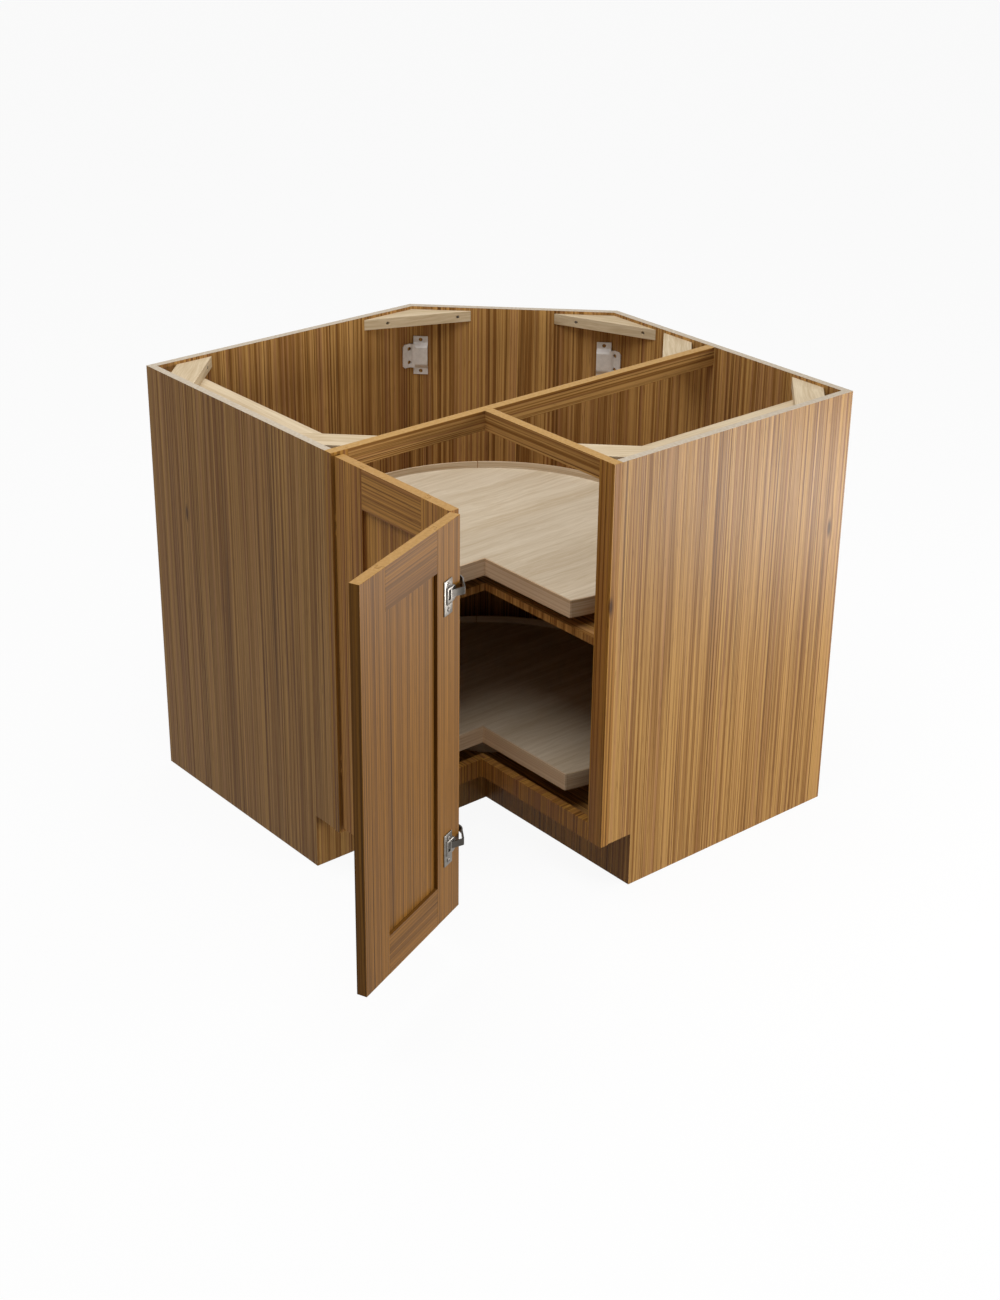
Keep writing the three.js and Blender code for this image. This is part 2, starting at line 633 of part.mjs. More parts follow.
// a stile grooved along the edge that faces the panel
function leafStile(mirror) {
  const inner = LEAF_MEMBER;
  const outline = [
    [0, 0],
    [inner, 0],
    [inner, GROOVE[0]],
    [inner - GROOVE_DEPTH, GROOVE[0]],
    [inner - GROOVE_DEPTH, GROOVE[1]],
    [inner, GROOVE[1]],
    [inner, LEAF_THICKNESS],
    [0, LEAF_THICKNESS],
  ];
  const placed = mirror ? outline.map(([x, y]) => [LEAF_WIDTH - x, y]).reverse() : outline;
  return slab(placed, [LEAF_BOTTOM, LEAF_TOP]);
}

// a rail grooved along the edge that faces the panel, with a stub tenon at each end
function leafRail(top) {
  const run = [LEAF_MEMBER + TENON_GAP, LEAF_WIDTH - LEAF_MEMBER - TENON_GAP];
  const tenonRun = [run[0] - GROOVE_DEPTH + TENON_GAP, run[1] + GROOVE_DEPTH - TENON_GAP];
  const heights = top ? [LEAF_TOP - LEAF_MEMBER, LEAF_TOP] : [LEAF_BOTTOM, LEAF_BOTTOM + LEAF_MEMBER];
  const grooveHeights = top
    ? [heights[0] - 1, heights[0] + GROOVE_DEPTH]
    : [heights[1] - GROOVE_DEPTH, heights[1] + 1];
  const body = joined(block(run, THROUGH, heights), block(tenonRun, CORE, heights));
  return cutFrom(body, block([tenonRun[0] - 1, tenonRun[1] + 1], GROOVE, grooveHeights));
}

function leafPanel() {
  const lap = GROOVE_DEPTH - PANEL_PLAY;
  const run = [LEAF_MEMBER - lap, LEAF_WIDTH - LEAF_MEMBER + lap];
  const heights = [LEAF_BOTTOM + LEAF_MEMBER - lap, LEAF_TOP - LEAF_MEMBER + lap];
  return block(run, CORE, heights);
}

function leafPieces(name, { hingeCuts = [], freeCuts = [] }) {
  const parts = {
    hinge_stile: hingeCuts.length ? cutFrom(leafStile(false), ...hingeCuts) : leafStile(false),
    free_stile: freeCuts.length ? cutFrom(leafStile(true), ...freeCuts) : leafStile(true),
    top_rail: leafRail(true),
    bottom_rail: leafRail(false),
    panel: leafPanel(),
  };
  return Object.entries(parts).map(([part, shape]) => piece(`${name}_${part}`, shape, doorWood()));
}

// ---- Stile hinges: a pin in a pocket of the first leaf, an arm on the cabinet's stile ----

const POCKET_Y = LEAF_THICKNESS - POCKET_DEPTH;

function pocketCut(z) {
  const half = POCKET_HEIGHT / 2;
  return block([-1, POCKET_WIDTH], [POCKET_Y, LEAF_THICKNESS + 1], [z - half, z + half]);
}

// the metal lining of a pocket, open towards the hinge edge and the inside, with its pin
function stileHingeCup(z) {
  const run = [SEAT_GAP, POCKET_WIDTH - SEAT_GAP];
  const depth = [POCKET_Y + SEAT_GAP, LEAF_THICKNESS - SEAT_GAP];
  const half = POCKET_HEIGHT / 2 - SEAT_GAP;
  const heights = [z - half, z + half];
  const pinPlace = [SWING_FROM_EDGE, SWING_FROM_FACE];
  return joined(
    block(run, [depth[0], depth[0] + CUP_WALL], heights),
    block([run[1] - CUP_WALL, run[1]], depth, heights),
    block(run, depth, [heights[0], heights[0] + CUP_WALL]),
    block(run, depth, [heights[1] - CUP_WALL, heights[1]]),
    rod(PIN_R, pinPlace, [heights[0] + CUP_WALL / 2, heights[1] - CUP_WALL / 2]),
  );
}

// the arm: a plate on the stile's inner edge, a bent strip and a barrel round the pin
function stileHingeArm(z) {
  const seat = -WALL_RUN + FRAME_WIDTH;
  const bend = [END_DEPTH + ARM_FRONT_GAP + ARM_SHEET, seat];
  const tail = [FRAME_BACK + ARM_PLATE_INSET, seat];
  const strip = sheetOutline([[SWING_X, SWING_Y], bend, tail], -ARM_SHEET);
  const half = BARREL_HEIGHT / 2;
  const halfPlate = ARM_PLATE_HEIGHT / 2;
  const plateRun = [tail[0], END_DEPTH - ARM_PLATE_INSET];
  const plate = block(plateRun, [seat, seat + ARM_SHEET], [z - halfPlate, z + halfPlate]);
  const barrelR = PIN_R + PIN_CLEARANCE + BARREL_WALL;
  const body = joined(
    slab(strip, [z - half, z + half]),
    plate,
    rod(barrelR, [SWING_X, SWING_Y], [z - half, z + half], 24),
  );
  const bore = rod(PIN_R + PIN_CLEARANCE, [SWING_X, SWING_Y], [z - half - 1, z + half + 1], 24);
  return cutFrom(body, bore);
}

// ---- Fold hinges: an arm on the second leaf curls round the fold into a cup in the first ----

const FOLD_CUP_X = LEAF_WIDTH - FOLD_CUP_EDGE - FOLD_CUP_R;

function cupBore(z) {
  const bore = rod(FOLD_CUP_R, [0, 0], [0, FOLD_CUP_DEPTH + 1], FOLD_CUP_STEPS);
  return laid(bore, [FOLD_CUP_X, LEAF_THICKNESS - FOLD_CUP_DEPTH], z + FOLD_STRAP_RISE, [0, 1]);
}

function foldHingeCup(z) {
  const outer = FOLD_CUP_R - SEAT_GAP;
  const inner = outer - CUP_WALL;
  const depth = FOLD_CUP_DEPTH - SEAT_GAP;
  const wall = rod(outer, [0, 0], [0, depth], FOLD_CUP_STEPS);
  const hollow = rod(inner, [0, 0], [CUP_WALL * 0.8, depth + 1], FOLD_CUP_STEPS);
  const cup = cutFrom(wall, hollow);
  return laid(cup, [FOLD_CUP_X, LEAF_THICKNESS - depth], z + FOLD_STRAP_RISE, [0, 1]);
}

// the strap: from the plate out to a sharp bend, then round the fold axis into the cup
function foldStrapLine() {
  const round = FOLD_STRAP_R + FOLD_STRAP_SHEET;
  const tip = 180 - FOLD_CLOSED - FOLD_TIP_CLOSED;
  const [bendX, bendRise] = FOLD_STRAP_BEND;
  const arc = Array.from({ length: FOLD_ARC_STEPS + 1 }, (_, i) => {
    const angle = rad(FOLD_STRAP_MEET + ((tip - FOLD_STRAP_MEET) * i) / FOLD_ARC_STEPS);
    return [round * Math.cos(angle) - FOLD_GAP, round * Math.sin(angle) - FOLD_GAP];
  });
  return [
    [FOLD_STRAP_ROOT, LEAF_THICKNESS + SEAT_GAP + FOLD_STRAP_SHEET],
    [bendX, LEAF_THICKNESS + bendRise],
    ...arc,
  ];
}

// the raised middle of the plate, which the strap grows out of
function foldDome(z) {
  const { near, width, height, rise, corner, depth } = FOLD_DOME;
  const [w, h] = [width / 2, height / 2];
  const shape = new THREE.Shape();
  shape.moveTo(w, -h);
  shape.lineTo(w, h);
  shape.lineTo(-w + corner, h);
  shape.absarc(-w + corner, h - corner, corner, Math.PI / 2, Math.PI, false);
  shape.lineTo(-w, -h + corner);
  shape.absarc(-w + corner, -h + corner, corner, Math.PI, Math.PI * 1.5, false);
  shape.closePath();
  const dome = slab(shape, [0, depth], 4);
  return laid(dome, [near + w, LEAF_THICKNESS + SEAT_GAP], z + rise, [0, 1]);
}

function foldHingeArm(z) {
  const halfStrap = FOLD_STRAP_HEIGHT / 2;
  const strapMiddle = z + FOLD_STRAP_RISE;
  const strap = sheetOutline(foldStrapLine(), FOLD_STRAP_SHEET);
  const halfPlate = FOLD_PLATE_HEIGHT / 2;
  const seat = LEAF_THICKNESS + SEAT_GAP;
  const plateRun = [FOLD_PLATE_NEAR, FOLD_PLATE_NEAR + FOLD_PLATE_WIDTH];
  const plateDepth = [seat, seat + FOLD_PLATE_SHEET];
  const body = joined(
    slab(strap, [strapMiddle - halfStrap, strapMiddle + halfStrap]),
    block(plateRun, plateDepth, [z - halfPlate, z + halfPlate]),
    foldDome(z),
  );
  const middle = FOLD_PLATE_NEAR + FOLD_PLATE_WIDTH / 2;
  const reach = halfPlate - FOLD_PLATE_SCREW;
  const holes = [-1, 1].map((sign) => {
    const drill = rod(SCREW_SHANK_R, [0, 0], [-1, FOLD_PLATE_SHEET + 1]);
    return laid(drill, [middle, seat], z + sign * reach, [0, 1]);
  });
  return cutFrom(body, ...holes);
}

function hingePieces(geometryAt, prefix) {
  return Object.entries(HINGE_HEIGHTS).map(([level, z]) =>
    piece(prefix.replace("LEVEL", level), geometryAt(z), nickelSteel()),
  );
}

// the first leaf stands square to the face frame, the second hangs folded on its free edge
function door() {
  const heights = Object.values(HINGE_HEIGHTS);
  const hingeLeaf = new THREE.Group();
  hingeLeaf.position.set(SWING_X - SWING_FROM_EDGE, SWING_Y - SWING_FROM_FACE, 0);
  hingeLeaf.add(
    ...leafPieces("hinge_leaf", {
      hingeCuts: heights.map(pocketCut),
      freeCuts: heights.map(cupBore),
    }),
    ...hingePieces(stileHingeCup, "LEVEL_stile_hinge_cup"),
    ...hingePieces(foldHingeCup, "LEVEL_fold_hinge_cup"),
  );
  const foldAxis = new THREE.Group();
  foldAxis.position.set(LEAF_WIDTH + FOLD_GAP, -FOLD_GAP, 0);
  foldAxis.rotation.z = rad(FOLD_REST);
  const foldLeaf = new THREE.Group();
  foldLeaf.position.set(FOLD_GAP, FOLD_GAP, 0);
  foldLeaf.add(
    ...leafPieces("fold_leaf", {}),
    ...hingePieces(foldHingeArm, "LEVEL_fold_hinge_arm"),
  );
  foldAxis.add(foldLeaf);
  hingeLeaf.add(foldAxis);
  return hingeLeaf;
}

const carcass = new THREE.Group();
carcass.position.set(-REFERENCE, REFERENCE, 0);
carcass.add(
  ...endPanels(),
  ...backPanels(),
  ...floorAndShelf(),
  ...toeBoards(),
  ...faceFrame(),
  ...stretchers(),
  ...cornerBlocks(),
  ...panelBrackets(),
  tray("upper", SHELF_TOP),
  tray("lower", FLOOR_TOP + RISER_HEIGHT),
  trayRiser(),
  ...hingePieces(stileHingeArm, "LEVEL_stile_hinge_arm"),
  door(),
);

const cabinet = new THREE.Group();
cabinet.add(carcass);

export default cabinet;
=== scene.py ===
import math

import bmesh
import bpy
from mathutils import Matrix, Vector
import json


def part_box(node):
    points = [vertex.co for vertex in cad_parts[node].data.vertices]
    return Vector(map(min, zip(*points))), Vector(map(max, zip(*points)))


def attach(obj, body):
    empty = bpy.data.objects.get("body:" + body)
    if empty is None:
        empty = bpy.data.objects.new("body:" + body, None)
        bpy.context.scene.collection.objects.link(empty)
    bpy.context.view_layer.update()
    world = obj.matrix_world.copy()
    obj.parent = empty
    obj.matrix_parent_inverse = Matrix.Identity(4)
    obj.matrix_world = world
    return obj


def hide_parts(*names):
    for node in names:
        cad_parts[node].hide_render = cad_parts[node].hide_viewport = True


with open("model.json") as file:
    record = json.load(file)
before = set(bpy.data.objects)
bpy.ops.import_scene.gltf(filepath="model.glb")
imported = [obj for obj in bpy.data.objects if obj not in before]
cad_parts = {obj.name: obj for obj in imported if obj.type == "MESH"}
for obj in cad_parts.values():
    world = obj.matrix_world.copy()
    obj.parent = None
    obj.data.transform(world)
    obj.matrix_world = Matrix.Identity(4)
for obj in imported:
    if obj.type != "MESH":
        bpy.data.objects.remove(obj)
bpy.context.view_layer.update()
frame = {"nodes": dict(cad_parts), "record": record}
NODES = frame["nodes"]
JOINTS = {joint["name"]: joint for joint in frame["record"]["behaviour"]["joints"]}

MM = 0.001
UP = Vector((0, 0, 1))
LEVELS = ("upper", "lower")

# ---- The view: the photograph's camera, found from the cabinet's own corners ----
CAMERA_PLACE = Vector((3.24701, -2.78713, 2.19155))
CAMERA_TARGET = Vector((0.7752, -0.8091, 0.6991))
LENS = 58.47
SENSOR = 36.0
SHIFT = (0.0442, -0.0304)

# ---- Places: where the two walls' planes and the floor meet ----
CORNER = Vector((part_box("left_back_panel")[0].x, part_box("right_back_panel")[1].y, 0))
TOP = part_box("left_end_panel")[1].z
SPIN = Vector(JOINTS["upper_tray_spin"]["pos_m"])
FOLD = Vector(JOINTS["door_fold"]["pos_m"])
FOLD_TURN = math.radians(-67.6)  # the second leaf's turn from the first in the rest pose
LEAF = 19  # thickness of a leaf
FOLD_GAP = 0.85  # from the fold axis to a leaf's edge and to its outer face
SEAT = 0.3  # between a fitting and the wood under it
CLEAR_OF_PLATE = 25  # from the fold axis, past a fold hinge's raised plate


def spot(x, y, z):
    """A place by its distances in millimetres from the two walls and the floor."""
    return CORNER + Vector((x, y, z)) * MM


def set_camera():
    """Stands the camera where the photograph was taken from."""
    data = bpy.data.cameras.new("studio_camera")
    data.lens = LENS
    data.sensor_width = SENSOR
    data.shift_x, data.shift_y = SHIFT
    camera = bpy.data.objects.new("studio_camera", data)
    camera.location = CAMERA_PLACE
    camera.rotation_euler = (CAMERA_TARGET - CAMERA_PLACE).to_track_quat("-Z", "Y").to_euler()
    bpy.context.scene.collection.objects.link(camera)
    bpy.context.scene.camera = camera


# ---- Materials: one function adds a node, the rest are recipes for real finishes ----
def linear(code):
    """An sRGB hex colour as the linear colour that a shader takes."""
    channels = [int(code[i:i + 2], 16) / 255 for i in (1, 3, 5)]
    return tuple(
        c / 12.92 if c <= 0.04045 else ((c + 0.055) / 1.055) ** 2.4 for c in channels
    ) + (1.0,)


def per_metre(period):
    """The noise scale whose features are about this many millimetres apart."""
    return 1000 / period


def add(tree, kind, inputs=None, **settings):
    """Adds a node, sets its properties and fills its inputs with values or other sockets."""
    node = tree.nodes.new(kind)
    for name, value in settings.items():
        setattr(node, name, value)
    for name, value in (inputs or {}).items():
        if isinstance(value, bpy.types.NodeSocket):
            tree.links.new(value, node.inputs[name])
        else:
            node.inputs[name].default_value = value
    return node


def new_material(name):
    """A material with an empty node tree."""
    material = bpy.data.materials.new(name)
    material.use_nodes = True
    tree = material.node_tree
    tree.nodes.clear()
    return material, tree


def finish_material(tree, shader):
    """Sends a shader to the surface."""
    output = add(tree, "ShaderNodeOutputMaterial")
    tree.links.new(shader.outputs[0], output.inputs["Surface"])


# turns that lay a recipe's grain, which runs along its own z, along a piece
UPRIGHT = (0, 0, 0)
EVEN = (1, 1, 1)
ACROSS = 0.02  # squeezes a pattern so that it hardly changes along one direction


def lying(bearing):
    """The turn that lays the grain level, at a bearing from x in degrees."""
    return (Matrix.Rotation(math.pi / 2, 3, "Y")
            @ Matrix.Rotation(math.radians(-bearing), 3, "Z")).to_euler()


def streaks(tree, place, width, length, low=0.34, high=0.66, reach=1.0, detail=2.0):
    """Noise drawn out along z, from 0 to its reach: streaks this wide and long in millimetres."""
    scale = (per_metre(width), per_metre(width), per_metre(length))
    drawn = add(tree, "ShaderNodeMapping", {"Vector": place, "Scale": scale}).outputs[0]
    noise = add(tree, "ShaderNodeTexNoise", {"Vector": drawn, "Scale": 1.0, "Detail": detail})
    return add(tree, "ShaderNodeMapRange",
               {"Value": noise.outputs["Fac"], "From Min": low, "From Max": high,
                "To Max": reach}).outputs[0]


def swayed(tree, place, period, length, amount):
    """Lets straight grain wander sideways, by a few millimetres over a long run."""
    scale = (per_metre(period), per_metre(period), per_metre(length))
    drawn = add(tree, "ShaderNodeMapping", {"Vector": place, "Scale": scale}).outputs[0]
    drift = add(tree, "ShaderNodeTexNoise", {"Vector": drawn, "Scale": 1.0, "Detail": 2.0})
    centred = add(tree, "ShaderNodeVectorMath", {0: drift.outputs["Color"], 1: (0.5, 0.5, 0.5)},
                  operation="SUBTRACT").outputs[0]
    sideways = (amount * MM, amount * MM, 0.0)
    return add(tree, "ShaderNodeVectorMath", {0: centred, 1: sideways, 2: place},
               operation="MULTIPLY_ADD").outputs[0]


KNOT_PUSH = -0.8  # how far the grain is pushed aside at a knot's heart, as a share of the way
KNOT_DARKNESS = 0.85
KNOTS = [  # place, reach across the grain and reach along it
    (spot(956, -35.8, 607), 15, 58),
    (spot(956, -604.4, 606), 13, 50),
    (spot(120.5, -956, 606), 12, 54),
]


def knotted(tree, place):
    """Bends upright grain round a few small knots; also gives how dark each place is."""
    bent = place
    dark = None
    for middle, across, along in KNOTS:
        offset = add(tree, "ShaderNodeVectorMath", {0: place, 1: middle},
                     operation="SUBTRACT").outputs[0]
        reach = (per_metre(across), per_metre(across), per_metre(along))
        ratio = add(tree, "ShaderNodeVectorMath", {0: offset, 1: reach},
                    operation="MULTIPLY").outputs[0]
        away = add(tree, "ShaderNodeVectorMath", {0: ratio}, operation="LENGTH").outputs["Value"]
        near = add(tree, "ShaderNodeMapRange",
                   {"Value": away, "From Min": 0.15, "From Max": 1.0,
                    "To Min": KNOT_PUSH, "To Max": 0.0}).outputs[0]
        push = add(tree, "ShaderNodeVectorMath", {0: offset, "Scale": near},
                   operation="SCALE").outputs[0]
        bent = add(tree, "ShaderNodeVectorMath", {0: bent, 1: push}, operation="ADD").outputs[0]
        core = add(tree, "ShaderNodeMapRange",
                   {"Value": away, "From Min": 0.16, "From Max": 0.46,
                    "To Min": KNOT_DARKNESS, "To Max": 0.0}).outputs[0]
        dark = core if dark is None else add(tree, "ShaderNodeMath", {0: dark, 1: core},
                                             operation="MAXIMUM").outputs[0]
    return bent, dark


# the veneer's figure: each part's width across the grain and its length along it
BAND, LINE, ZONE, FLUSH = (5.5, 1800), (2.8, 600), (60, 3000), (9, 1900)
FURROW, PORE = (5, 1100), (2.2, 42)
LINE_SHARE, ZONE_SHARE = 0.36, 0.13  # against the bands
VENEER_SWAY = (120, 600, 7)  # a bend's width and length, and how far it goes
MAPLE_SWAY = (60, 160)


def striped(tree, run, tones):
    """The colour of straight grain cut on the quarter: bands about 5 mm wide made of lines
    3 mm wide, some of them flushed pink, with dark furrows and short pores. Real pores are
    finer than the picture shows, so they are drawn about three times too wide."""
    dark, light, flush, line = [linear(code) for code in tones]
    band = streaks(tree, run, *BAND)
    fine = streaks(tree, run, *LINE, detail=3.0)
    zone = streaks(tree, run, *ZONE, 0.38, 0.62)
    tone = add(tree, "ShaderNodeMix", {0: LINE_SHARE, 2: band, 3: fine}).outputs[0]
    tone = add(tree, "ShaderNodeMix", {0: ZONE_SHARE, 2: tone, 3: zone}).outputs[0]
    tone = add(tree, "ShaderNodeMapRange",
               {"Value": tone, "From Min": 0.26, "From Max": 0.74}).outputs[0]
    ground = add(tree, "ShaderNodeMix", {0: tone, 6: dark, 7: light},
                 data_type="RGBA").outputs[2]
    pink = streaks(tree, run, *FLUSH, 0.5, 0.7, 0.6)
    ground = add(tree, "ShaderNodeMix", {0: pink, 6: ground, 7: flush},
                 data_type="RGBA").outputs[2]
    furrows = streaks(tree, run, *FURROW, 0.42, 0.33, 0.75)
    pores = streaks(tree, run, *PORE, 0.6, 0.74, 0.5)
    marks = add(tree, "ShaderNodeMath", {0: pores, 1: furrows}, operation="MAXIMUM").outputs[0]
    colour = add(tree, "ShaderNodeMix", {0: marks, 6: ground, 7: line},
                 data_type="RGBA").outputs[2]
    relief = add(tree, "ShaderNodeMath", {0: fine, 1: marks}, operation="SUBTRACT").outputs[0]
    return colour, fine, relief


LACQUER_SHINE = 0.1
LACQUER_ROUGHNESS = (0.46, 0.38)  # over the dark lines and over the pale ones


def lacquered(tree, colour, fine, relief):
    """A thin satin lacquer that sinks into the grain: a soft shine, duller over the lines."""
    bump = add(tree, "ShaderNodeBump", {"Height": relief, "Strength": 0.12, "Distance": 0.0003})
    rough = add(tree, "ShaderNodeMapRange",
                {"Value": fine, "To Min": LACQUER_ROUGHNESS[0],
                 "To Max": LACQUER_ROUGHNESS[1]}).outputs[0]
    shader = add(tree, "ShaderNodeBsdfPrincipled",
                 {"Base Color": colour, "Roughness": rough, "Specular IOR Level": LACQUER_SHINE,
                  "Normal": bump.outputs[0]})
    finish_material(tree, shader)


def striped_veneer(name, grain, tones, squeeze=EVEN, knots=False, edge=None, fineness=1.0):
    """Sliced straight-grained veneer under satin lacquer: stripes that run a piece's length,
    drawn closer together by the fineness."""
    material, tree = new_material(name)
    place = add(tree, "ShaderNodeTexCoord").outputs["Object"]
    flow, knot = knotted(tree, place) if knots else (place, None)
    turned = add(tree, "ShaderNodeMapping",
                 {"Vector": flow, "Rotation": grain, "Scale": squeeze}).outputs[0]
    closer = add(tree, "ShaderNodeMapping",
                 {"Vector": turned, "Scale": (fineness, fineness, 1)}).outputs[0]
    colour, fine, relief = striped(tree, swayed(tree, closer, *VENEER_SWAY), tones)
    if knot is not None:
        colour = add(tree, "ShaderNodeMix", {0: knot, 6: colour, 7: linear(KNOT_BROWN)},
                     data_type="RGBA").outputs[2]
    if edge is not None:
        colour = topped(tree, place, colour, edge)
    lacquered(tree, colour, fine, relief)
    return material


def topped(tree, place, colour, edge):
    """The top edge of a piece, above a height: paler than the faces, with flecks. On the panels it
    is their sawn plywood edge; on the frame and the leaves the paler tone is painted light from
    above.
    """
    height, pale, fleck = edge
    rise = add(tree, "ShaderNodeSeparateXYZ", {0: place}).outputs["Z"]
    above = add(tree, "ShaderNodeMath", {0: rise, 1: height}, operation="GREATER_THAN").outputs[0]
    flecks = streaks(tree, place, 6, 6, 0.3, 0.7, detail=3.0)
    # the top's pale tone: the plywood edge on the panels, painted light from above on the frame
    # and the leaves
    bare = add(tree, "ShaderNodeMix", {0: flecks, 6: linear(pale), 7: linear(fleck)},
               data_type="RGBA").outputs[2]
    return add(tree, "ShaderNodeMix", {0: above, 6: colour, 7: bare},
               data_type="RGBA").outputs[2]


def board_veneer(name, tones):
    """The same veneer on a board: it runs along the board, and upright over its front edges."""
    material, tree = new_material(name)
    place = add(tree, "ShaderNodeTexCoord")
    turned = add(tree, "ShaderNodeMapping",
                 {"Vector": place.outputs["Object"], "Scale": (ACROSS, 1, ACROSS)}).outputs[0]
    crossed = add(tree, "ShaderNodeMapping",
                  {"Vector": place.outputs["Object"], "Scale": (1, ACROSS, ACROSS)}).outputs[0]
    facing = add(tree, "ShaderNodeSeparateXYZ", {0: place.outputs["Normal"]}).outputs["Y"]
    sideways = add(tree, "ShaderNodeMath", {0: facing}, operation="ABSOLUTE").outputs[0]
    front = add(tree, "ShaderNodeMath", {0: sideways, 1: 0.5}, operation="GREATER_THAN").outputs[0]
    run = add(tree, "ShaderNodeMix", {0: front, 4: turned, 5: crossed},
              data_type="VECTOR").outputs[1]
    lacquered(tree, *striped(tree, run, tones))
    return material


def pale_wood(name, grain, tones, wander, width=7, squeeze=EVEN):
    """Planed maple, left bare: close pale grain with longer soft darker streaks, quite matt."""
    dark, light = [linear(code) for code in tones]
    material, tree = new_material(name)
    place = add(tree, "ShaderNodeTexCoord").outputs["Object"]
    turned = add(tree, "ShaderNodeMapping",
                 {"Vector": place, "Rotation": grain, "Scale": squeeze}).outputs[0]
    run = swayed(tree, turned, *MAPLE_SWAY, wander)
    broad = streaks(tree, run, width * 4, 700, 0.36, 0.64)
    close = streaks(tree, run, width, 240, 0.36, 0.64, detail=3.0)
    fine = streaks(tree, run, 2.2, 60, 0.35, 0.65)
    tone = add(tree, "ShaderNodeMix", {0: 0.45, 2: broad, 3: close}).outputs[0]
    tone = add(tree, "ShaderNodeMix", {0: 0.3, 2: tone, 3: fine}).outputs[0]
    colour = add(tree, "ShaderNodeMix", {0: tone, 6: dark, 7: light}, data_type="RGBA").outputs[2]
    bump = add(tree, "ShaderNodeBump", {"Height": tone, "Strength": 0.1, "Distance": 0.0003})
    shader = add(tree, "ShaderNodeBsdfPrincipled",
                 {"Base Color": colour, "Roughness": 0.65, "Specular IOR Level": 0.3,
                  "Normal": bump.outputs[0]})
    finish_material(tree, shader)
    return material


def strapped(tree, place, colour, strap_shade):
    """A fold hinge's strap, where it stands clear of its plate: a darker colour there, painted
    shade.
    """
    offset = add(tree, "ShaderNodeVectorMath", {0: place, 1: FOLD},
                 operation="SUBTRACT").outputs[0]
    outward = Matrix.Rotation(FOLD_TURN, 3, "Z") @ Vector((0, 1, 0))
    height = add(tree, "ShaderNodeVectorMath", {0: offset, 1: outward},
                 operation="DOT_PRODUCT").outputs["Value"]
    clear = add(tree, "ShaderNodeMath", {0: height, 1: CLEAR_OF_PLATE * MM},
                operation="GREATER_THAN").outputs[0]
    return add(tree, "ShaderNodeMix", {0: clear, 6: colour, 7: linear(strap_shade)},
               data_type="RGBA").outputs[2]


def plated_steel(name, dark, light, roughness, grit, metallic=1.0, strap_shade=None):
    """Sheet steel, pressed and then plated: an even shine, clouded a little by the bath."""
    material, tree = new_material(name)
    place = add(tree, "ShaderNodeTexCoord").outputs["Object"]
    cloud = streaks(tree, place, 9, 9, 0.35, 0.65, detail=3.0)
    grain = streaks(tree, place, grit, grit, 0.3, 0.7)
    tone = add(tree, "ShaderNodeMix", {0: 0.4, 2: cloud, 3: grain}).outputs[0]
    colour = add(tree, "ShaderNodeMix", {0: tone, 6: linear(dark), 7: linear(light)},
                 data_type="RGBA").outputs[2]
    # a fold hinge's strap is given a darker colour: painted shade
    if strap_shade is not None:
        colour = strapped(tree, place, colour, strap_shade)
    rough = add(tree, "ShaderNodeMapRange",
                {"Value": grain, "To Min": roughness * 0.85,
                 "To Max": roughness * 1.15}).outputs[0]
    bump = add(tree, "ShaderNodeBump", {"Height": grain, "Strength": 0.02, "Distance": 0.0002})
    shader = add(tree, "ShaderNodeBsdfPrincipled",
                 {"Base Color": colour, "Metallic": metallic, "Roughness": rough,
                  "Normal": bump.outputs[0]})
    finish_material(tree, shader)
    return material


# dark line, light line, flushed line and furrow of the panels' veneer, then of the frame's
# and the two leaves'
VENEER = ("#7d5427", "#bb9054", "#a2754f", "#502f10")
FRAME_WOOD = ("#7a5023", "#b3833f", "#986745", "#52310f")
HINGE_LEAF_WOOD = ("#885827", "#cb954d", "#ad744d", "#593410")
# the fold leaf's tones are a darker copy of the leaves' veneer, with less blue: painted shade
FOLD_LEAF_WOOD_PAINTED_SHADE = ("#69451a", "#976829", "#7d5426", "#442a0b")
PALE_TOP = (TOP - 0.2 * MM, "#bfb3a2", "#ad9d86")
# the frame's and the leaves' top edges, paler than their faces: painted light from above
FRAME_TOP_PAINTED_LIGHT = (TOP - 0.2 * MM, "#b48d52", "#a47b3e")
LEAF_TOP_PAINTED_LIGHT = (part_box("fold_leaf_free_stile")[1].z - 0.2 * MM, "#b08850", "#a0773c")
KNOT_BROWN = "#3a2212"
PANEL_FINENESS = 1.35
CLOSE = 1.6  # the fineness of the frame's and the leaves' veneer
DECK = ("#bba88b", "#d6c8b1")
BLOCK = ("#ad9673", "#d3c1a3")
RIM = ("#a08360", "#dccbb0")
FASCIA = ("#b59672", "#ecdcc2")

panel_veneer = striped_veneer("sliced_walnut_veneer_panel", UPRIGHT, VENEER, knots=True,
                              edge=PALE_TOP, fineness=PANEL_FINENESS)
stile_veneer = striped_veneer("sliced_walnut_veneer_stile", UPRIGHT, FRAME_WOOD, knots=True,
                              edge=FRAME_TOP_PAINTED_LIGHT, fineness=CLOSE)
rail_x = striped_veneer("sliced_walnut_veneer_rail_x", lying(0), VENEER, edge=FRAME_TOP_PAINTED_LIGHT,
                        fineness=CLOSE)
rail_y = striped_veneer("sliced_walnut_veneer_rail_y", lying(90), VENEER, edge=FRAME_TOP_PAINTED_LIGHT,
                        fineness=CLOSE)
hinge_leaf_face = striped_veneer("sliced_walnut_veneer_hinge_leaf", UPRIGHT, HINGE_LEAF_WOOD,
                                 edge=LEAF_TOP_PAINTED_LIGHT, fineness=CLOSE)
hinge_leaf_rail = striped_veneer("sliced_walnut_veneer_hinge_leaf_rail", lying(0),
                                 HINGE_LEAF_WOOD, edge=LEAF_TOP_PAINTED_LIGHT, fineness=CLOSE)
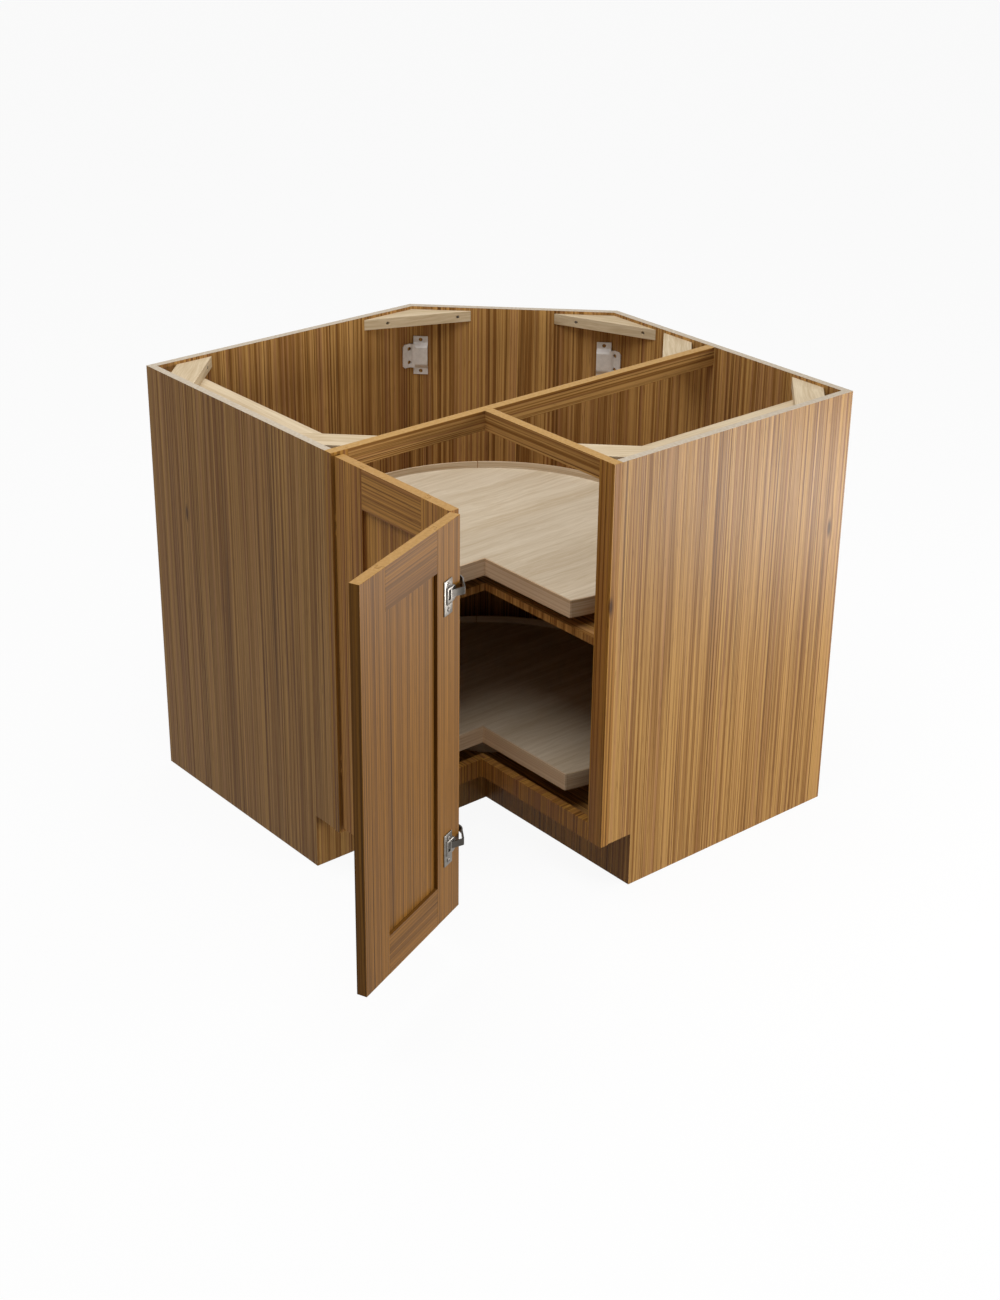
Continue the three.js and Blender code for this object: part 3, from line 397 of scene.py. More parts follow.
# the fold leaf in its darker tones: painted shade
fold_leaf_face = striped_veneer("sliced_walnut_veneer_fold_leaf", UPRIGHT, FOLD_LEAF_WOOD_PAINTED_SHADE,
                                edge=LEAF_TOP_PAINTED_LIGHT, fineness=CLOSE)
fold_leaf_rail = striped_veneer("sliced_walnut_veneer_fold_leaf_rail",
                                lying(math.degrees(FOLD_TURN)), FOLD_LEAF_WOOD_PAINTED_SHADE, edge=LEAF_TOP_PAINTED_LIGHT,
                                fineness=CLOSE)
left_rail = striped_veneer("sliced_walnut_veneer_left_bottom_rail", UPRIGHT, FRAME_WOOD,
                           (ACROSS, 1, 1), fineness=CLOSE)
right_rail = striped_veneer("sliced_walnut_veneer_right_bottom_rail", UPRIGHT, FRAME_WOOD,
                            (1, ACROSS, 1), fineness=CLOSE)
board = board_veneer("sliced_walnut_veneer_board", VENEER)
deck_wood = pale_wood("maple_faced_plywood_deck", lying(90), DECK, 26, 8)
rim_wood = pale_wood("bent_maple_rim", lying(0), RIM, 3, 5, (ACROSS, ACROSS, 1))
fascia_wood = pale_wood("planed_maple_fascia", lying(0), FASCIA, 3, 5, (ACROSS, ACROSS, 1))
stretcher_y = pale_wood("planed_maple_stretcher_y", lying(90), BLOCK, 6)
stretcher_x = pale_wood("planed_maple_stretcher_x", lying(0), BLOCK, 6)
# grey zinc is dull and nearly even; nickel is darker and shinier, so it shows what stands round
# it;
# the fold hinges' nickel is a darker copy of it, painted shade, and their strap is painted darker
# still
zinc = plated_steel("grey_zinc_plated_pressed_steel", "#cdc8c3", "#e0dbd6", 0.6, 1.6, 0.4)
nickel = plated_steel("nickel_plated_pressed_steel", "#76706a", "#948e87", 0.4, 1.2)
shaded_hinge_nickel = plated_steel("nickel_plated_hinge_steel_painted_shade", "#6b6660", "#86817a", 0.38, 1.2,
                            strap_shade="#4a4641")
polished = plated_steel("polished_bearing_steel", "#c8c8c6", "#dcdcda", 0.15, 0.8)


def block_wood(name, bearing):
    """Maple block with its wavy grain along the long face."""
    return pale_wood(name, lying(bearing), BLOCK, 26, 5)


def dress(node, material):
    """Gives a CAD node one material."""
    slots = NODES[node].material_slots
    if len(slots) == 0:
        NODES[node].data.materials.append(material)
    for slot in slots:
        slot.material = material


EASE = 0.5  # width of an eased arris
EASED_ANGLE = 40  # an edge that turns less than this, in degrees, isn't an arris
WELD = 0.00001  # points nearer than this, in metres, are one


def eased(node, width):
    """Eases the sharp arrises of a wooden piece, as a few strokes of sandpaper do."""
    weld = NODES[node].modifiers.new("joined", "WELD")
    weld.merge_threshold = WELD
    bevel = NODES[node].modifiers.new("eased", "BEVEL")
    bevel.width = width * MM
    bevel.segments = 2
    bevel.limit_method = "ANGLE"
    bevel.angle_limit = math.radians(EASED_ANGLE)
    bevel.use_clamp_overlap = True


BLOCK_BEARINGS = {
    "rear_left": -45, "rear_right": -45, "cross_rail": -45, "front_left": 45, "front_right": 45,
    "diagonal_left": 67.5, "diagonal_right": 22.5,
}
LOOKS = {
    "left_end_panel": panel_veneer, "right_end_panel": panel_veneer,
    "left_back_panel": panel_veneer, "right_back_panel": panel_veneer,
    "diagonal_back_panel": panel_veneer,
    "left_toe_board": panel_veneer, "right_toe_board": panel_veneer,
    "cabinet_floor": board, "middle_shelf": board,
    "left_stile": stile_veneer, "right_stile": stile_veneer,
    "cross_top_rail": rail_y, "right_top_rail": rail_x,
    "left_bottom_rail": left_rail, "right_bottom_rail": right_rail,
    "left_stretcher": stretcher_x, "right_stretcher": stretcher_y,
    "lower_tray_riser": deck_wood,
    "hinge_leaf_hinge_stile": hinge_leaf_face, "hinge_leaf_free_stile": hinge_leaf_face,
    "hinge_leaf_panel": hinge_leaf_face,
    "hinge_leaf_top_rail": hinge_leaf_rail, "hinge_leaf_bottom_rail": hinge_leaf_rail,
    "fold_leaf_hinge_stile": fold_leaf_face, "fold_leaf_free_stile": fold_leaf_face,
    "fold_leaf_panel": fold_leaf_face,
    "fold_leaf_top_rail": fold_leaf_rail, "fold_leaf_bottom_rail": fold_leaf_rail,
    "left_panel_bracket": zinc, "right_panel_bracket": zinc,
}
for level in LEVELS:
    LOOKS[f"{level}_tray_deck"] = deck_wood
    LOOKS[f"{level}_tray_rim"] = rim_wood
    for strip in ("left_fascia", "right_fascia"):
        LOOKS[f"{level}_tray_{strip}"] = fascia_wood
    for race in ("top_race", "bottom_race"):
        LOOKS[f"{level}_bearing_{race}"] = zinc
    LOOKS[f"{level}_bearing_balls"] = polished
    for fitting in ("stile_hinge_cup", "stile_hinge_arm", "fold_hinge_cup"):
        LOOKS[f"{level}_{fitting}"] = nickel
    LOOKS[f"{level}_fold_hinge_arm"] = shaded_hinge_nickel
by_bearing = {}
for corner, bearing in BLOCK_BEARINGS.items():
    if bearing not in by_bearing:
        by_bearing[bearing] = block_wood(f"planed_maple_block_{len(by_bearing)}", bearing)
    LOOKS[f"{corner}_block"] = by_bearing[bearing]

for node, material in LOOKS.items():
    dress(node, material)
    if material not in (zinc, nickel, shaded_hinge_nickel, polished, panel_veneer, board):
        eased(node, EASE)


# ---- New pieces are drawn in millimetres, then scaled and placed as they are finished ----
TOUCHING = 0.001  # points nearer than this are merged
BAR_STEPS = 24
SMOOTH_SHEET, SMOOTH_METAL, SMOOTH_RIM = 30, 35, 40  # edges that turn less look smooth, degrees


def finished(name, shape, place, body, material, smooth=None):
    """Turns a shape drawn in millimetres into a piece that rides on a body."""
    bmesh.ops.transform(shape, matrix=place @ Matrix.Scale(MM, 4), verts=shape.verts)
    data = bpy.data.meshes.new(name)
    shape.to_mesh(data)
    shape.free()
    if smooth is not None:
        data.shade_smooth()
        data.set_sharp_from_angle(angle=math.radians(smooth))
    piece = bpy.data.objects.new(name, data)
    bpy.context.scene.collection.objects.link(piece)
    data.materials.append(material)
    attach(piece, body)
    return piece


def placed(origin, along, across):
    """The matrix that carries a piece's own x and y to two directions at a place."""
    a, b = Vector(along).normalized(), Vector(across).normalized()
    turn = Matrix((a, b, a.cross(b))).transposed().to_4x4()
    return Matrix.Translation(origin) @ turn


def line(shape, points):
    """A chain of edges: one vertex, drawn out from point to point."""
    tip = bmesh.ops.create_vert(shape, co=points[0])["vert"][0]
    for point in points[1:]:
        drawn = bmesh.ops.extrude_vert_indiv(shape, verts=[tip])
        tip = drawn["verts"][0]
        bmesh.ops.translate(shape, verts=[tip], vec=Vector(point) - tip.co)
    return tip


def curled(shape, tip, centre, angle, steps):
    """Goes on from the end of a chain round a centre, in plan."""
    swept = bmesh.ops.spin(shape, geom=[tip], cent=centre, axis=UP, angle=angle, steps=steps)
    return [item for item in swept["geom_last"] if isinstance(item, bmesh.types.BMVert)][0]


def pulled(shape, vec):
    """Pulls every edge of a chain into a sheet."""
    drawn = bmesh.ops.extrude_edge_only(shape, edges=list(shape.edges))["geom"]
    tips = [item for item in drawn if isinstance(item, bmesh.types.BMVert)]
    bmesh.ops.translate(shape, verts=tips, vec=vec)


def thickened(shape, thickness, back=None):
    """Gives a sheet its thickness; one with a back keeps its place there and grows forwards."""
    bmesh.ops.recalc_face_normals(shape, faces=list(shape.faces))
    if back is not None and sum(face.normal.dot(Vector(back)) for face in shape.faces) < 0:
        bmesh.ops.reverse_faces(shape, faces=list(shape.faces))
    bmesh.ops.solidify(shape, geom=list(shape.faces), thickness=thickness)
    bmesh.ops.recalc_face_normals(shape, faces=list(shape.faces))


def box(size, centre):
    """A block about a centre."""
    shape = bmesh.new()
    bmesh.ops.create_cube(shape, size=1)
    bmesh.ops.scale(shape, vec=size, verts=shape.verts)
    bmesh.ops.translate(shape, vec=centre, verts=shape.verts)
    return shape


def bar(radius, depth, place):
    """A round bar along its own z, set at a place."""
    shape = bmesh.new()
    bmesh.ops.create_cone(shape, cap_ends=True, segments=BAR_STEPS, radius1=radius,
                          radius2=radius, depth=depth, matrix=place)
    return shape


def rounded(shape, edges, width, steps):
    """Rounds some edges of a shape."""
    bmesh.ops.bevel(shape, geom=edges, offset=width, segments=steps, affect="EDGES",
                    profile=0.5, material=-1, offset_type="OFFSET")


def spun(points, steps):
    """A closed turned shape from a chain that starts and ends on the z axis."""
    shape = bmesh.new()
    line(shape, points)
    bmesh.ops.spin(shape, geom=list(shape.verts) + list(shape.edges), cent=(0, 0, 0), axis=UP,
                   angle=2 * math.pi, steps=steps, use_merge=True)
    bmesh.ops.remove_doubles(shape, verts=shape.verts, dist=TOUCHING)
    bmesh.ops.recalc_face_normals(shape, faces=shape.faces)
    return shape


def combined(body, tool, operation):
    """One closed shape joined to another, or cut by it."""
    helpers = []
    for shape in (body, tool):
        data = bpy.data.meshes.new("helper")
        shape.to_mesh(data)
        shape.free()
        helper = bpy.data.objects.new("helper", data)
        bpy.context.scene.collection.objects.link(helper)
        helpers.append(helper)
    cut = helpers[0].modifiers.new("cut", "BOOLEAN")
    cut.operation = operation
    cut.solver = "EXACT"
    cut.object = helpers[1]
    result = bmesh.new()
    result.from_object(helpers[0], bpy.context.evaluated_depsgraph_get())
    for helper in helpers:
        data = helper.data
        bpy.data.objects.remove(helper)
        bpy.data.meshes.remove(data)
    bmesh.ops.remove_doubles(result, verts=result.verts, dist=TOUCHING)
    return result


def added(target, shape, place):
    """Adds a copy of a shape to another one, at a place in millimetres."""
    copy = shape.copy()
    bmesh.ops.transform(copy, matrix=place, verts=copy.verts)
    data = bpy.data.meshes.new("helper")
    copy.to_mesh(data)
    copy.free()
    target.from_mesh(data)
    bpy.data.meshes.remove(data)


# ---- Screws: a head's radius and rise for each kind ----
BLOCK_SCREW, STILE_HINGE_SCREW, FOLD_HINGE_SCREW = (3.1, 1.6), (3.2, 1.5), (3.9, 1.9)
SCREW_STEPS = 20
HEAD_CURVE = ((1, 0), (1, 0.45), (0.86, 0.78), (0.55, 0.95))  # shares of the radius and rise
RECESS_LENGTH, RECESS_WIDTH = 1.1, 0.22  # of the cross, as shares of the radius


def screw(radius, rise):
    """A pan-head screw with a cross recess, its head standing on z = 0."""
    curve = [(radius * out, 0, rise * up) for out, up in HEAD_CURVE]
    head = spun([(0, 0, 0)] + curve + [(0, 0, rise)], SCREW_STEPS)
    length, width = radius * RECESS_LENGTH, radius * RECESS_WIDTH
    for size in ((length, width, rise), (width, length, rise)):
        head = combined(head, box(size, (0, 0, rise)), "DIFFERENCE")
    return head


def screw_rows(name, head, seats):
    """The cabinet's screws of one kind; each seat is a place and the way its head looks."""
    pattern = screw(*head)
    shape = bmesh.new()
    for origin, facing in seats:
        turn = Vector(facing).to_track_quat("Z", "Y").to_matrix().to_4x4()
        added(shape, pattern, Matrix.Translation(origin) @ turn)
    pattern.free()
    finished(name, shape, Matrix.Translation(CORNER), "cabinet", nickel,
             SMOOTH_METAL)


# ---- Brackets: x along the diagonal back from the inner corner, y into the cabinet ----
BRACKET_MIDDLE = 769.5  # above the floor
BRACKET_CORNERS = {  # the inner corner that a bracket stands by, and the way its plate runs
    "left": ((15, -315.21), (1, 1, 0)),
    "right": ((315.21, -15), (-1, -1, 0)),
}
BRACKET_SHEET, BRACKET_WIDTH, BRACKET_EDGE, BRACKET_RISE = 2, 30.5, 3, 7
PLATE_STEPS = (19, 27, 42)  # heights where the plate leaves its middle, meets its tab and ends
FLANGE_REACH, FLANGE_HALF, FLANGE_CORNER = 26, 26, 5
BRACKET_HOLE = 4.2  # radius of its four holes
TAB_HOLE = 34.5  # above and below the plate's middle
FLANGE_HOLE = (10, 15)  # from the inner corner, and above and below the middle
PLATE_BEND, FLANGE_BEND, FLANGE_ROOT = 2.5, 1.5, 4  # the bends, and what the flange starts from
THROUGH = 12  # a length that goes through any sheet
BRACKET_WALL = Vector((-1, 1, 0)).normalized()  # the side panel, as a bracket sees it


def bracket_plate():
    """The plate: flat tabs at both ends, and a middle that two slopes raise off the panel."""
    flat, foot, end = PLATE_STEPS
    raised = SEAT + BRACKET_RISE
    shape = bmesh.new()
    line(shape, [(BRACKET_EDGE, SEAT, -end), (BRACKET_EDGE, SEAT, -foot),
                 (BRACKET_EDGE, raised, -flat), (BRACKET_EDGE, raised, flat),
                 (BRACKET_EDGE, SEAT, foot), (BRACKET_EDGE, SEAT, end)])
    pulled(shape, (BRACKET_WIDTH, 0, 0))
    bends = [e for e in shape.edges if len(e.link_faces) == 2]
    rounded(shape, bends, PLATE_BEND, 4)
    thickened(shape, BRACKET_SHEET, back=(0, -1, 0))
    return shape


def bracket_flange():
    """The flange: bent back from the raised middle on to the side panel, its corners cut."""
    wall = BRACKET_WALL
    foot = Vector((wall.y, -wall.x, 0)) * SEAT
    raised = SEAT + BRACKET_RISE
    shape = bmesh.new()
    line(shape, [(BRACKET_EDGE + FLANGE_ROOT, raised, -FLANGE_HALF),
                 (BRACKET_EDGE, raised, -FLANGE_HALF),
                 foot + wall * BRACKET_RISE - UP * FLANGE_HALF,
                 foot + wall * FLANGE_REACH - UP * FLANGE_HALF])
    pulled(shape, (0, 0, 2 * FLANGE_HALF))
    tips = [v for v in shape.verts if (v.co - foot).dot(wall) > FLANGE_REACH - 1]
    bmesh.ops.bevel(shape, geom=tips, offset=FLANGE_CORNER, segments=1, affect="VERTICES",
                    profile=0.5, material=-1, offset_type="OFFSET")
    bends = [e for e in shape.edges if len(e.link_faces) == 2]
    rounded(shape, bends, FLANGE_BEND, 3)
    thickened(shape, BRACKET_SHEET, back=(-1, -1, 0))
    return shape


def panel_bracket(side):
    """One bracket in place: plate and flange joined, with two holes in each."""
    corner, along = BRACKET_CORNERS[side]
    shape = combined(bracket_plate(), bracket_flange(), "UNION")
    for sign in (-1, 1):
        tab = (BRACKET_EDGE + BRACKET_WIDTH / 2, 0, sign * TAB_HOLE)
        turn = Matrix.Translation(tab) @ Matrix.Rotation(math.pi / 2, 4, "X")
        shape = combined(shape, bar(BRACKET_HOLE, THROUGH, turn), "DIFFERENCE")
        hole = BRACKET_WALL * FLANGE_HOLE[0] + UP * sign * FLANGE_HOLE[1]
        turn = (Matrix.Translation(hole) @ Matrix.Rotation(-math.pi / 4, 4, "Z")
                @ Matrix.Rotation(math.pi / 2, 4, "X"))
        shape = combined(shape, bar(BRACKET_HOLE, THROUGH, turn), "DIFFERENCE")
    place = placed(spot(*corner, BRACKET_MIDDLE), along, (1, -1, 0))
    bracket = finished(f"{side}_pressed_bracket", shape, place, "cabinet", zinc,
                       SMOOTH_SHEET)
    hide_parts(f"{side}_panel_bracket")


for side in BRACKET_CORNERS:
    panel_bracket(side)


# ---- The corner blocks' screws: two in each long face, sunk in bores that aim at the panels ----
DIAGONAL = math.sqrt(0.5)  # how far a way at 45 degrees goes along each wall
BLOCK_LEG = 125
BLOCK_MIDDLE = 858.75  # above the floor
SCREW_SINK = 4.5
SCREW_SHARES = (0.125, 0.22)  # of a long face, from its two ends to its screws
BLOCK_SEATS = (  # a block's corner and the ways its two sides run
    ((15, -941), (1, 0), (0, 1)),
    ((941, -15), (0, -1), (-1, 0)),
    ((589, -941), (0, 1), (-1, 0)),
    ((941, -589), (-1, 0), (0, 1)),
    ((589, -15), (-1, 0), (0, -1)),
    ((15, -315.64), (DIAGONAL, DIAGONAL), (0, -1)),
    ((315.64, -15), (1, 0), (-DIAGONAL, -DIAGONAL)),
)


def block_screw_seats():
    """Two seats in each block's long face, with the way each screw's head looks."""
    seats = []
    for corner, first, second in BLOCK_SEATS:
        corner = Vector((*corner, BLOCK_MIDDLE))
        sides = (Vector((*first, 0)), Vector((*second, 0)))
        hand = 1 if sides[0].cross(sides[1]).z > 0 else -1
        rows = ((0, 1, SCREW_SHARES[0], hand), (1, 0, SCREW_SHARES[1], -hand))
        for near, far, share, way in rows:
            tip = corner + sides[near] * BLOCK_LEG
            other = corner + sides[far] * BLOCK_LEG
            start = tip * (1 - share) + other * share
            inward = Vector((-sides[near].y, sides[near].x, 0)) * -way
            seats.append((start + inward * SCREW_SINK, -inward))
    return seats


screw_rows("corner_block_screws", BLOCK_SCREW, block_screw_seats())
HINGE_SCREW_X, HINGE_SCREW_Y = 598.5, -915.5  # from the two walls
HINGE_SCREW_RISE = 17  # above and below the arm's middle
for level in LEVELS:
    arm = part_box(f"{level}_stile_hinge_arm")
    middle = (arm[0].z + arm[1].z) / 2 / MM
    seats = [(Vector((HINGE_SCREW_X, HINGE_SCREW_Y, middle + rise)), (0, 1, 0))
             for rise in (-HINGE_SCREW_RISE, HINGE_SCREW_RISE)]
    screw_rows(f"{level}_stile_hinge_screws", STILE_HINGE_SCREW, seats)


# ---- Trays: the bent rim, in two lengths that meet at the back ----
RIM_RADIUS = 364
RIM_WALL = 3.5
RIM_HEIGHT = 35
RIM_END = 16.14  # how far the rim runs past the notch's edges, in degrees
RIM_JOINT = 144.8  # where the two lengths meet, in degrees
RIM_CREVICE = 0.12  # from the middle of the joint to each length, in degrees
RIM_EASE = 0.7
RIM_STEP = 1.5  # of the turning, in degrees


def rim_run(shape, start, end, bottom):
    """One bent length of rim between two angles, its long edges eased."""
    strip = bmesh.new()
    bmesh.ops.create_grid(strip, x_segments=1, y_segments=1, size=0.5)
    bmesh.ops.scale(strip, vec=(RIM_WALL, RIM_HEIGHT, 1), verts=strip.verts)
    bmesh.ops.bevel(strip, geom=list(strip.verts), offset=RIM_EASE, segments=3,
                    affect="VERTICES", profile=0.5, material=-1, offset_type="OFFSET")
    stood = Matrix.Translation((RIM_RADIUS - RIM_WALL / 2, 0, bottom + RIM_HEIGHT / 2))
    stood = stood @ Matrix.Rotation(math.pi / 2, 4, "X")
    bmesh.ops.transform(strip, matrix=stood, verts=strip.verts)
    turned = Matrix.Rotation(math.radians(start), 3, "Z")
    bmesh.ops.rotate(strip, matrix=turned, verts=strip.verts)
    steps = max(4, round((end - start) / RIM_STEP))
    geometry = list(strip.verts) + list(strip.edges) + list(strip.faces)
    bmesh.ops.spin(strip, geom=geometry, cent=(0, 0, 0), axis=UP,
                   angle=math.radians(end - start), steps=steps)
    bmesh.ops.remove_doubles(strip, verts=strip.verts, dist=TOUCHING)
    bmesh.ops.recalc_face_normals(strip, faces=strip.faces)
    added(shape, strip, Matrix())
    strip.free()


def tray_rim(level):
    """The rim of one tray, bent round its axis."""
    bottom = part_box(f"{level}_tray_rim")[0].z / MM
    shape = bmesh.new()
    rim_run(shape, -RIM_END, RIM_JOINT - RIM_CREVICE, bottom)
    rim_run(shape, RIM_JOINT + RIM_CREVICE, 270 + RIM_END, bottom)
    axis = Matrix.Translation((SPIN.x, SPIN.y, 0))
    rim = finished(f"{level}_tray_bent_rim", shape, axis, f"{level}_tray", rim_wood,
                   SMOOTH_RIM)
    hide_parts(f"{level}_tray_rim")


for level in LEVELS:
    tray_rim(level)


# ---- Fold hinges: drawn in the second leaf's own frame: x from its edge, y from its face ----
PLATE_NEAR, PLATE_WIDTH, PLATE_HEIGHT, PLATE_SHEET = 28.5, 27, 63, 1.8
PLATE_SCREW = 9  # from the plate's ends to its screws
PLATE_HOLE = 2.2  # radius
PLATE_TOP = LEAF + SEAT + PLATE_SHEET
PLATE_CORNER, PLATE_EASE = 1.6, 0.45
PLATE_WINDOW = ((17, 6, 7), (39.5, LEAF, -10.1))  # its size and middle
STRAP_SHEET, STRAP_HEIGHT, STRAP_RISE = 2.2, 13, 5
STRAP_INNER = 21.6  # inner radius of the strap's arc, about the fold axis
BEND = Vector((14.5, 37.5, 0))
BEND_RADIUS = 3
STRAP_ROOT = 40  # from the leaf's edge to where the strap starts
STRAP_MEET, STRAP_TIP = 112, 211  # where its arc starts and ends about the fold axis, in degrees
DOME = {"near": 20, "width": 30, "height": 30, "rise": 3.5, "depth": 4.5,
        "corner": 9, "brow": 2.6}
MOUTH = ((8, 9, STRAP_HEIGHT + 5), (43, PLATE_TOP + 4.6, STRAP_RISE))  # its size and middle
HINGE_SCREW_TURN = 0.5  # how far the crosses stand askew, in radians


def hinge_plate():
    """The plate with its window and screw holes."""
    middle = PLATE_NEAR + PLATE_WIDTH / 2
    plate = box((PLATE_WIDTH, PLATE_SHEET, PLATE_HEIGHT),
                (middle, LEAF + SEAT + PLATE_SHEET / 2, 0))
    corners = [e for e in plate.edges if abs(e.verts[0].co.y - e.verts[1].co.y) > 1]
    rounded(plate, corners, PLATE_CORNER, 4)
    face = [e for e in plate.edges if all(v.co.y > PLATE_TOP - 0.01 for v in e.verts)]
    rounded(plate, face, PLATE_EASE, 2)
    plate = combined(plate, box(*PLATE_WINDOW), "DIFFERENCE")
    for sign in (-1, 1):
        turn = Matrix.Translation((middle, LEAF, sign * (PLATE_HEIGHT / 2 - PLATE_SCREW)))
        hole = bar(PLATE_HOLE, THROUGH, turn @ Matrix.Rotation(math.pi / 2, 4, "X"))
        plate = combined(plate, hole, "DIFFERENCE")
    return plate


def hinge_dome():
    """The raised middle, pressed up with soft shoulders."""
    near, width, height = DOME["near"], DOME["width"], DOME["height"]
    centre = (near + width / 2, LEAF + SEAT + DOME["depth"] / 2, DOME["rise"])
    dome = box((width, DOME["depth"], height), centre)
    upright = [e for e in dome.edges if abs(e.verts[0].co.y - e.verts[1].co.y) > 1
               and e.verts[0].co.x < near + 1]
    rounded(dome, upright, DOME["corner"], 6)
    outer = LEAF + SEAT + DOME["depth"] - 0.01
    brow = [e for e in dome.edges if all(v.co.y > outer for v in e.verts)]
    rounded(dome, brow, DOME["brow"], 4)
    return combined(dome, box(*MOUTH), "DIFFERENCE")


def hinge_strap():
    """The strap: out of the plate, round a sharp bend and round the fold axis into the cup."""
    axis = Vector((-FOLD_GAP, -FOLD_GAP, 0))
    outer = STRAP_INNER + STRAP_SHEET
    meet = math.radians(STRAP_MEET)
    tip = math.radians(STRAP_TIP)
    root = Vector((STRAP_ROOT, LEAF + SEAT + STRAP_SHEET, 0))
    arc_start = axis + outer * Vector((math.cos(meet), math.sin(meet), 0))
    inward = (BEND - root).normalized()
    onward = (arc_start - BEND).normalized()
    turn = inward.angle(onward)
    back = BEND_RADIUS * math.tan(turn / 2)
    hub = BEND + (onward - inward).normalized() * BEND_RADIUS / math.cos(turn / 2)
    shape = bmesh.new()
    end = line(shape, [root, BEND - inward * back])
    end = curled(shape, end, hub, turn, 6)
    drawn = bmesh.ops.extrude_vert_indiv(shape, verts=[end])["verts"][0]
    bmesh.ops.translate(shape, verts=[drawn], vec=arc_start - drawn.co)
    curled(shape, drawn, axis, tip - meet, 18)
    bmesh.ops.remove_doubles(shape, verts=shape.verts, dist=TOUCHING)
    bmesh.ops.translate(shape, verts=shape.verts, vec=(0, 0, STRAP_RISE - STRAP_HEIGHT / 2))
    pulled(shape, (0, 0, STRAP_HEIGHT))
    thickened(shape, STRAP_SHEET)
    return shape


def fold_hinge(level):
    """One hinge between the leaves, with its two screws, in place on the second leaf."""
    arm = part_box(f"{level}_fold_hinge_arm")
    middle = (arm[0].z + arm[1].z) / 2
    place = (Matrix.Translation((FOLD.x, FOLD.y, middle)) @ Matrix.Rotation(FOLD_TURN, 4, "Z")
             @ Matrix.Translation(Vector((FOLD_GAP, FOLD_GAP, 0)) * MM))
    shape = combined(combined(hinge_plate(), hinge_dome(), "UNION"), hinge_strap(), "UNION")
    # the fold hinge in darker nickel, with a darker strap: painted shade
    hinge = finished(f"{level}_fold_hinge", shape, place, "fold_leaf", shaded_hinge_nickel,
                     SMOOTH_METAL)
    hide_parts(f"{level}_fold_hinge_arm")
    screws = bmesh.new()
    pattern = screw(*FOLD_HINGE_SCREW)
    for sign in (-1, 1):
        origin = (PLATE_NEAR + PLATE_WIDTH / 2, PLATE_TOP,
                  sign * (PLATE_HEIGHT / 2 - PLATE_SCREW))
        turn = (Matrix.Rotation(-math.pi / 2, 4, "X")
                @ Matrix.Rotation(HINGE_SCREW_TURN, 4, "Z"))
        added(screws, pattern, Matrix.Translation(origin) @ turn)
    pattern.free()
    finished(f"{level}_fold_hinge_screws", screws, place, "fold_leaf", nickel,
             SMOOTH_METAL)


for level in LEVELS:
    fold_hinge(level)


# ---- Studio: a white floor and sky, a soft lamp overhead and two beside the right end ----
FLOOR_REACH = 30  # in metres
FLOOR_WHITE, FLOOR_BOUNCE = "#f2f2f2", "#84796c"
FLOOR_GLOW = 0.93  # the share of its white that no shadow darkens
SKY_LIGHT = 0.34


def seen(tree):
    """1 for what is seen, straight, by gloss or through glass, and 0 for light that spreads."""
    path = add(tree, "ShaderNodeLightPath")
    shiny = add(tree, "ShaderNodeMath",
                {0: path.outputs["Is Glossy Ray"], 1: path.outputs["Is Transmission Ray"]},
                operation="MAXIMUM").outputs[0]
    return add(tree, "ShaderNodeMath", {0: path.outputs["Is Camera Ray"], 1: shiny},
               operation="MAXIMUM").outputs[0]


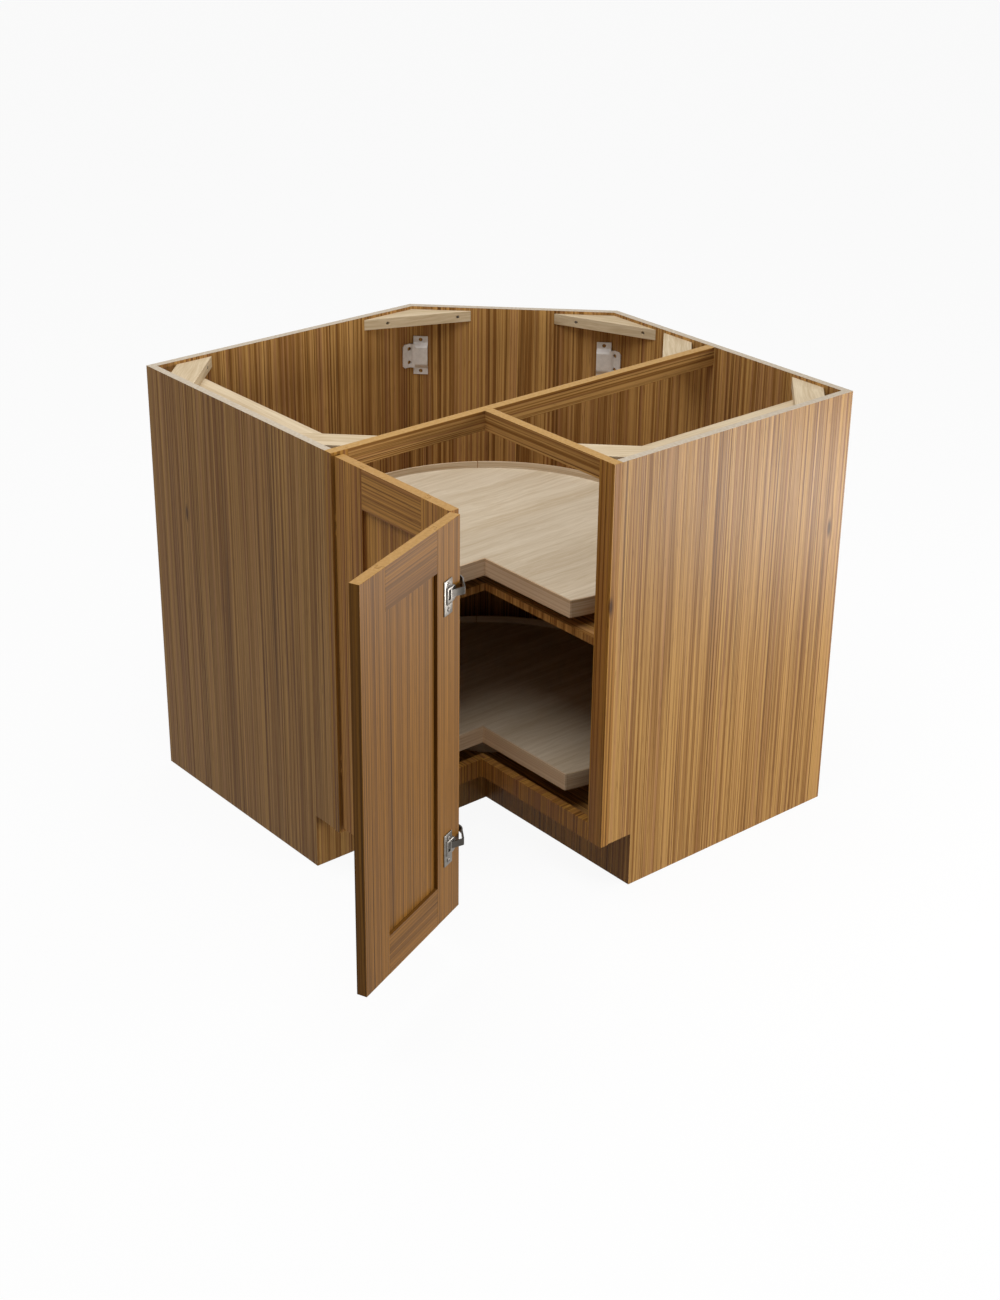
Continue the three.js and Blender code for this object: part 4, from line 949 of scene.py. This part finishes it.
def set_floor(bounce):
    """A wide floor, white to the eye, that sends a warm grey light up."""
    floor_mesh = bmesh.new()
    bmesh.ops.create_grid(floor_mesh, x_segments=1, y_segments=1, size=FLOOR_REACH)
    data = bpy.data.meshes.new("studio_floor")
    floor_mesh.to_mesh(data)
    floor_mesh.free()
    floor = bpy.data.objects.new("studio_floor", data)
    bpy.context.scene.collection.objects.link(floor)
    material, tree = new_material("white_floor_paint")
    view = seen(tree)
    colour = add(tree, "ShaderNodeMix", {0: view, 6: linear(bounce), 7: linear(FLOOR_WHITE)},
                 data_type="RGBA").outputs[2]
    matt = add(tree, "ShaderNodeBsdfDiffuse", {"Color": colour})
    glow = add(tree, "ShaderNodeEmission", {"Color": (1, 1, 1, 1), "Strength": 1.0})
    share = add(tree, "ShaderNodeMath", {0: view, 1: FLOOR_GLOW}, operation="MULTIPLY").outputs[0]
    mixed = add(tree, "ShaderNodeMixShader", {0: share, 1: matt.outputs[0], 2: glow.outputs[0]})
    finish_material(tree, mixed)
    data.materials.append(material)


def set_sky(ambient):
    """A sky, white to the eye, that lights the object at a lower level."""
    world = bpy.data.worlds.new("studio_world")
    world.use_nodes = True
    bpy.context.scene.world = world
    tree = world.node_tree
    tree.nodes.clear()
    strength = add(tree, "ShaderNodeMapRange", {"Value": seen(tree), "To Min": ambient}).outputs[0]
    background = add(tree, "ShaderNodeBackground", {"Color": (1, 1, 1, 1), "Strength": strength})
    output = add(tree, "ShaderNodeOutputWorld")
    tree.links.new(background.outputs[0], output.inputs["Surface"])


def lamp(name, place, target, size, watts, spreads=True, shines=True):
    """A softbox; its light may spread over the wood, shine in lacquer and metal, or do both."""
    data = bpy.data.lights.new(name, "AREA")
    data.shape = "RECTANGLE"
    data.size, data.size_y = size
    data.energy = watts
    light = bpy.data.objects.new(name, data)
    light.location = place
    aim = Vector(target) - Vector(place)
    light.rotation_euler = aim.to_track_quat("-Z", "Y").to_euler()
    light.visible_camera = False
    light.visible_diffuse = spreads
    light.visible_glossy = shines
    bpy.context.scene.collection.objects.link(light)


set_camera()
set_floor(FLOOR_BOUNCE)
set_sky(SKY_LIGHT)
lamp("overhead_softbox", place=(0.45, -0.95, 3.1), target=(0.4, -0.5, 0.0), size=(2.2, 2.6),
     watts=62)
lamp("side_softbox", place=(3.3, 1.4, 0.95), target=(0.8, -0.4, 0.6), size=(1.8, 1.0), watts=87,
     shines=False)
# the pale sheen on the upper part of the right end panel
lamp("low_softbox", place=(1.7, 0.95, 0.22), target=(0.796, -0.143, 0.733), size=(0.9, 0.36),
     watts=24, spreads=False)
bpy.context.scene.view_settings.view_transform = "Standard"
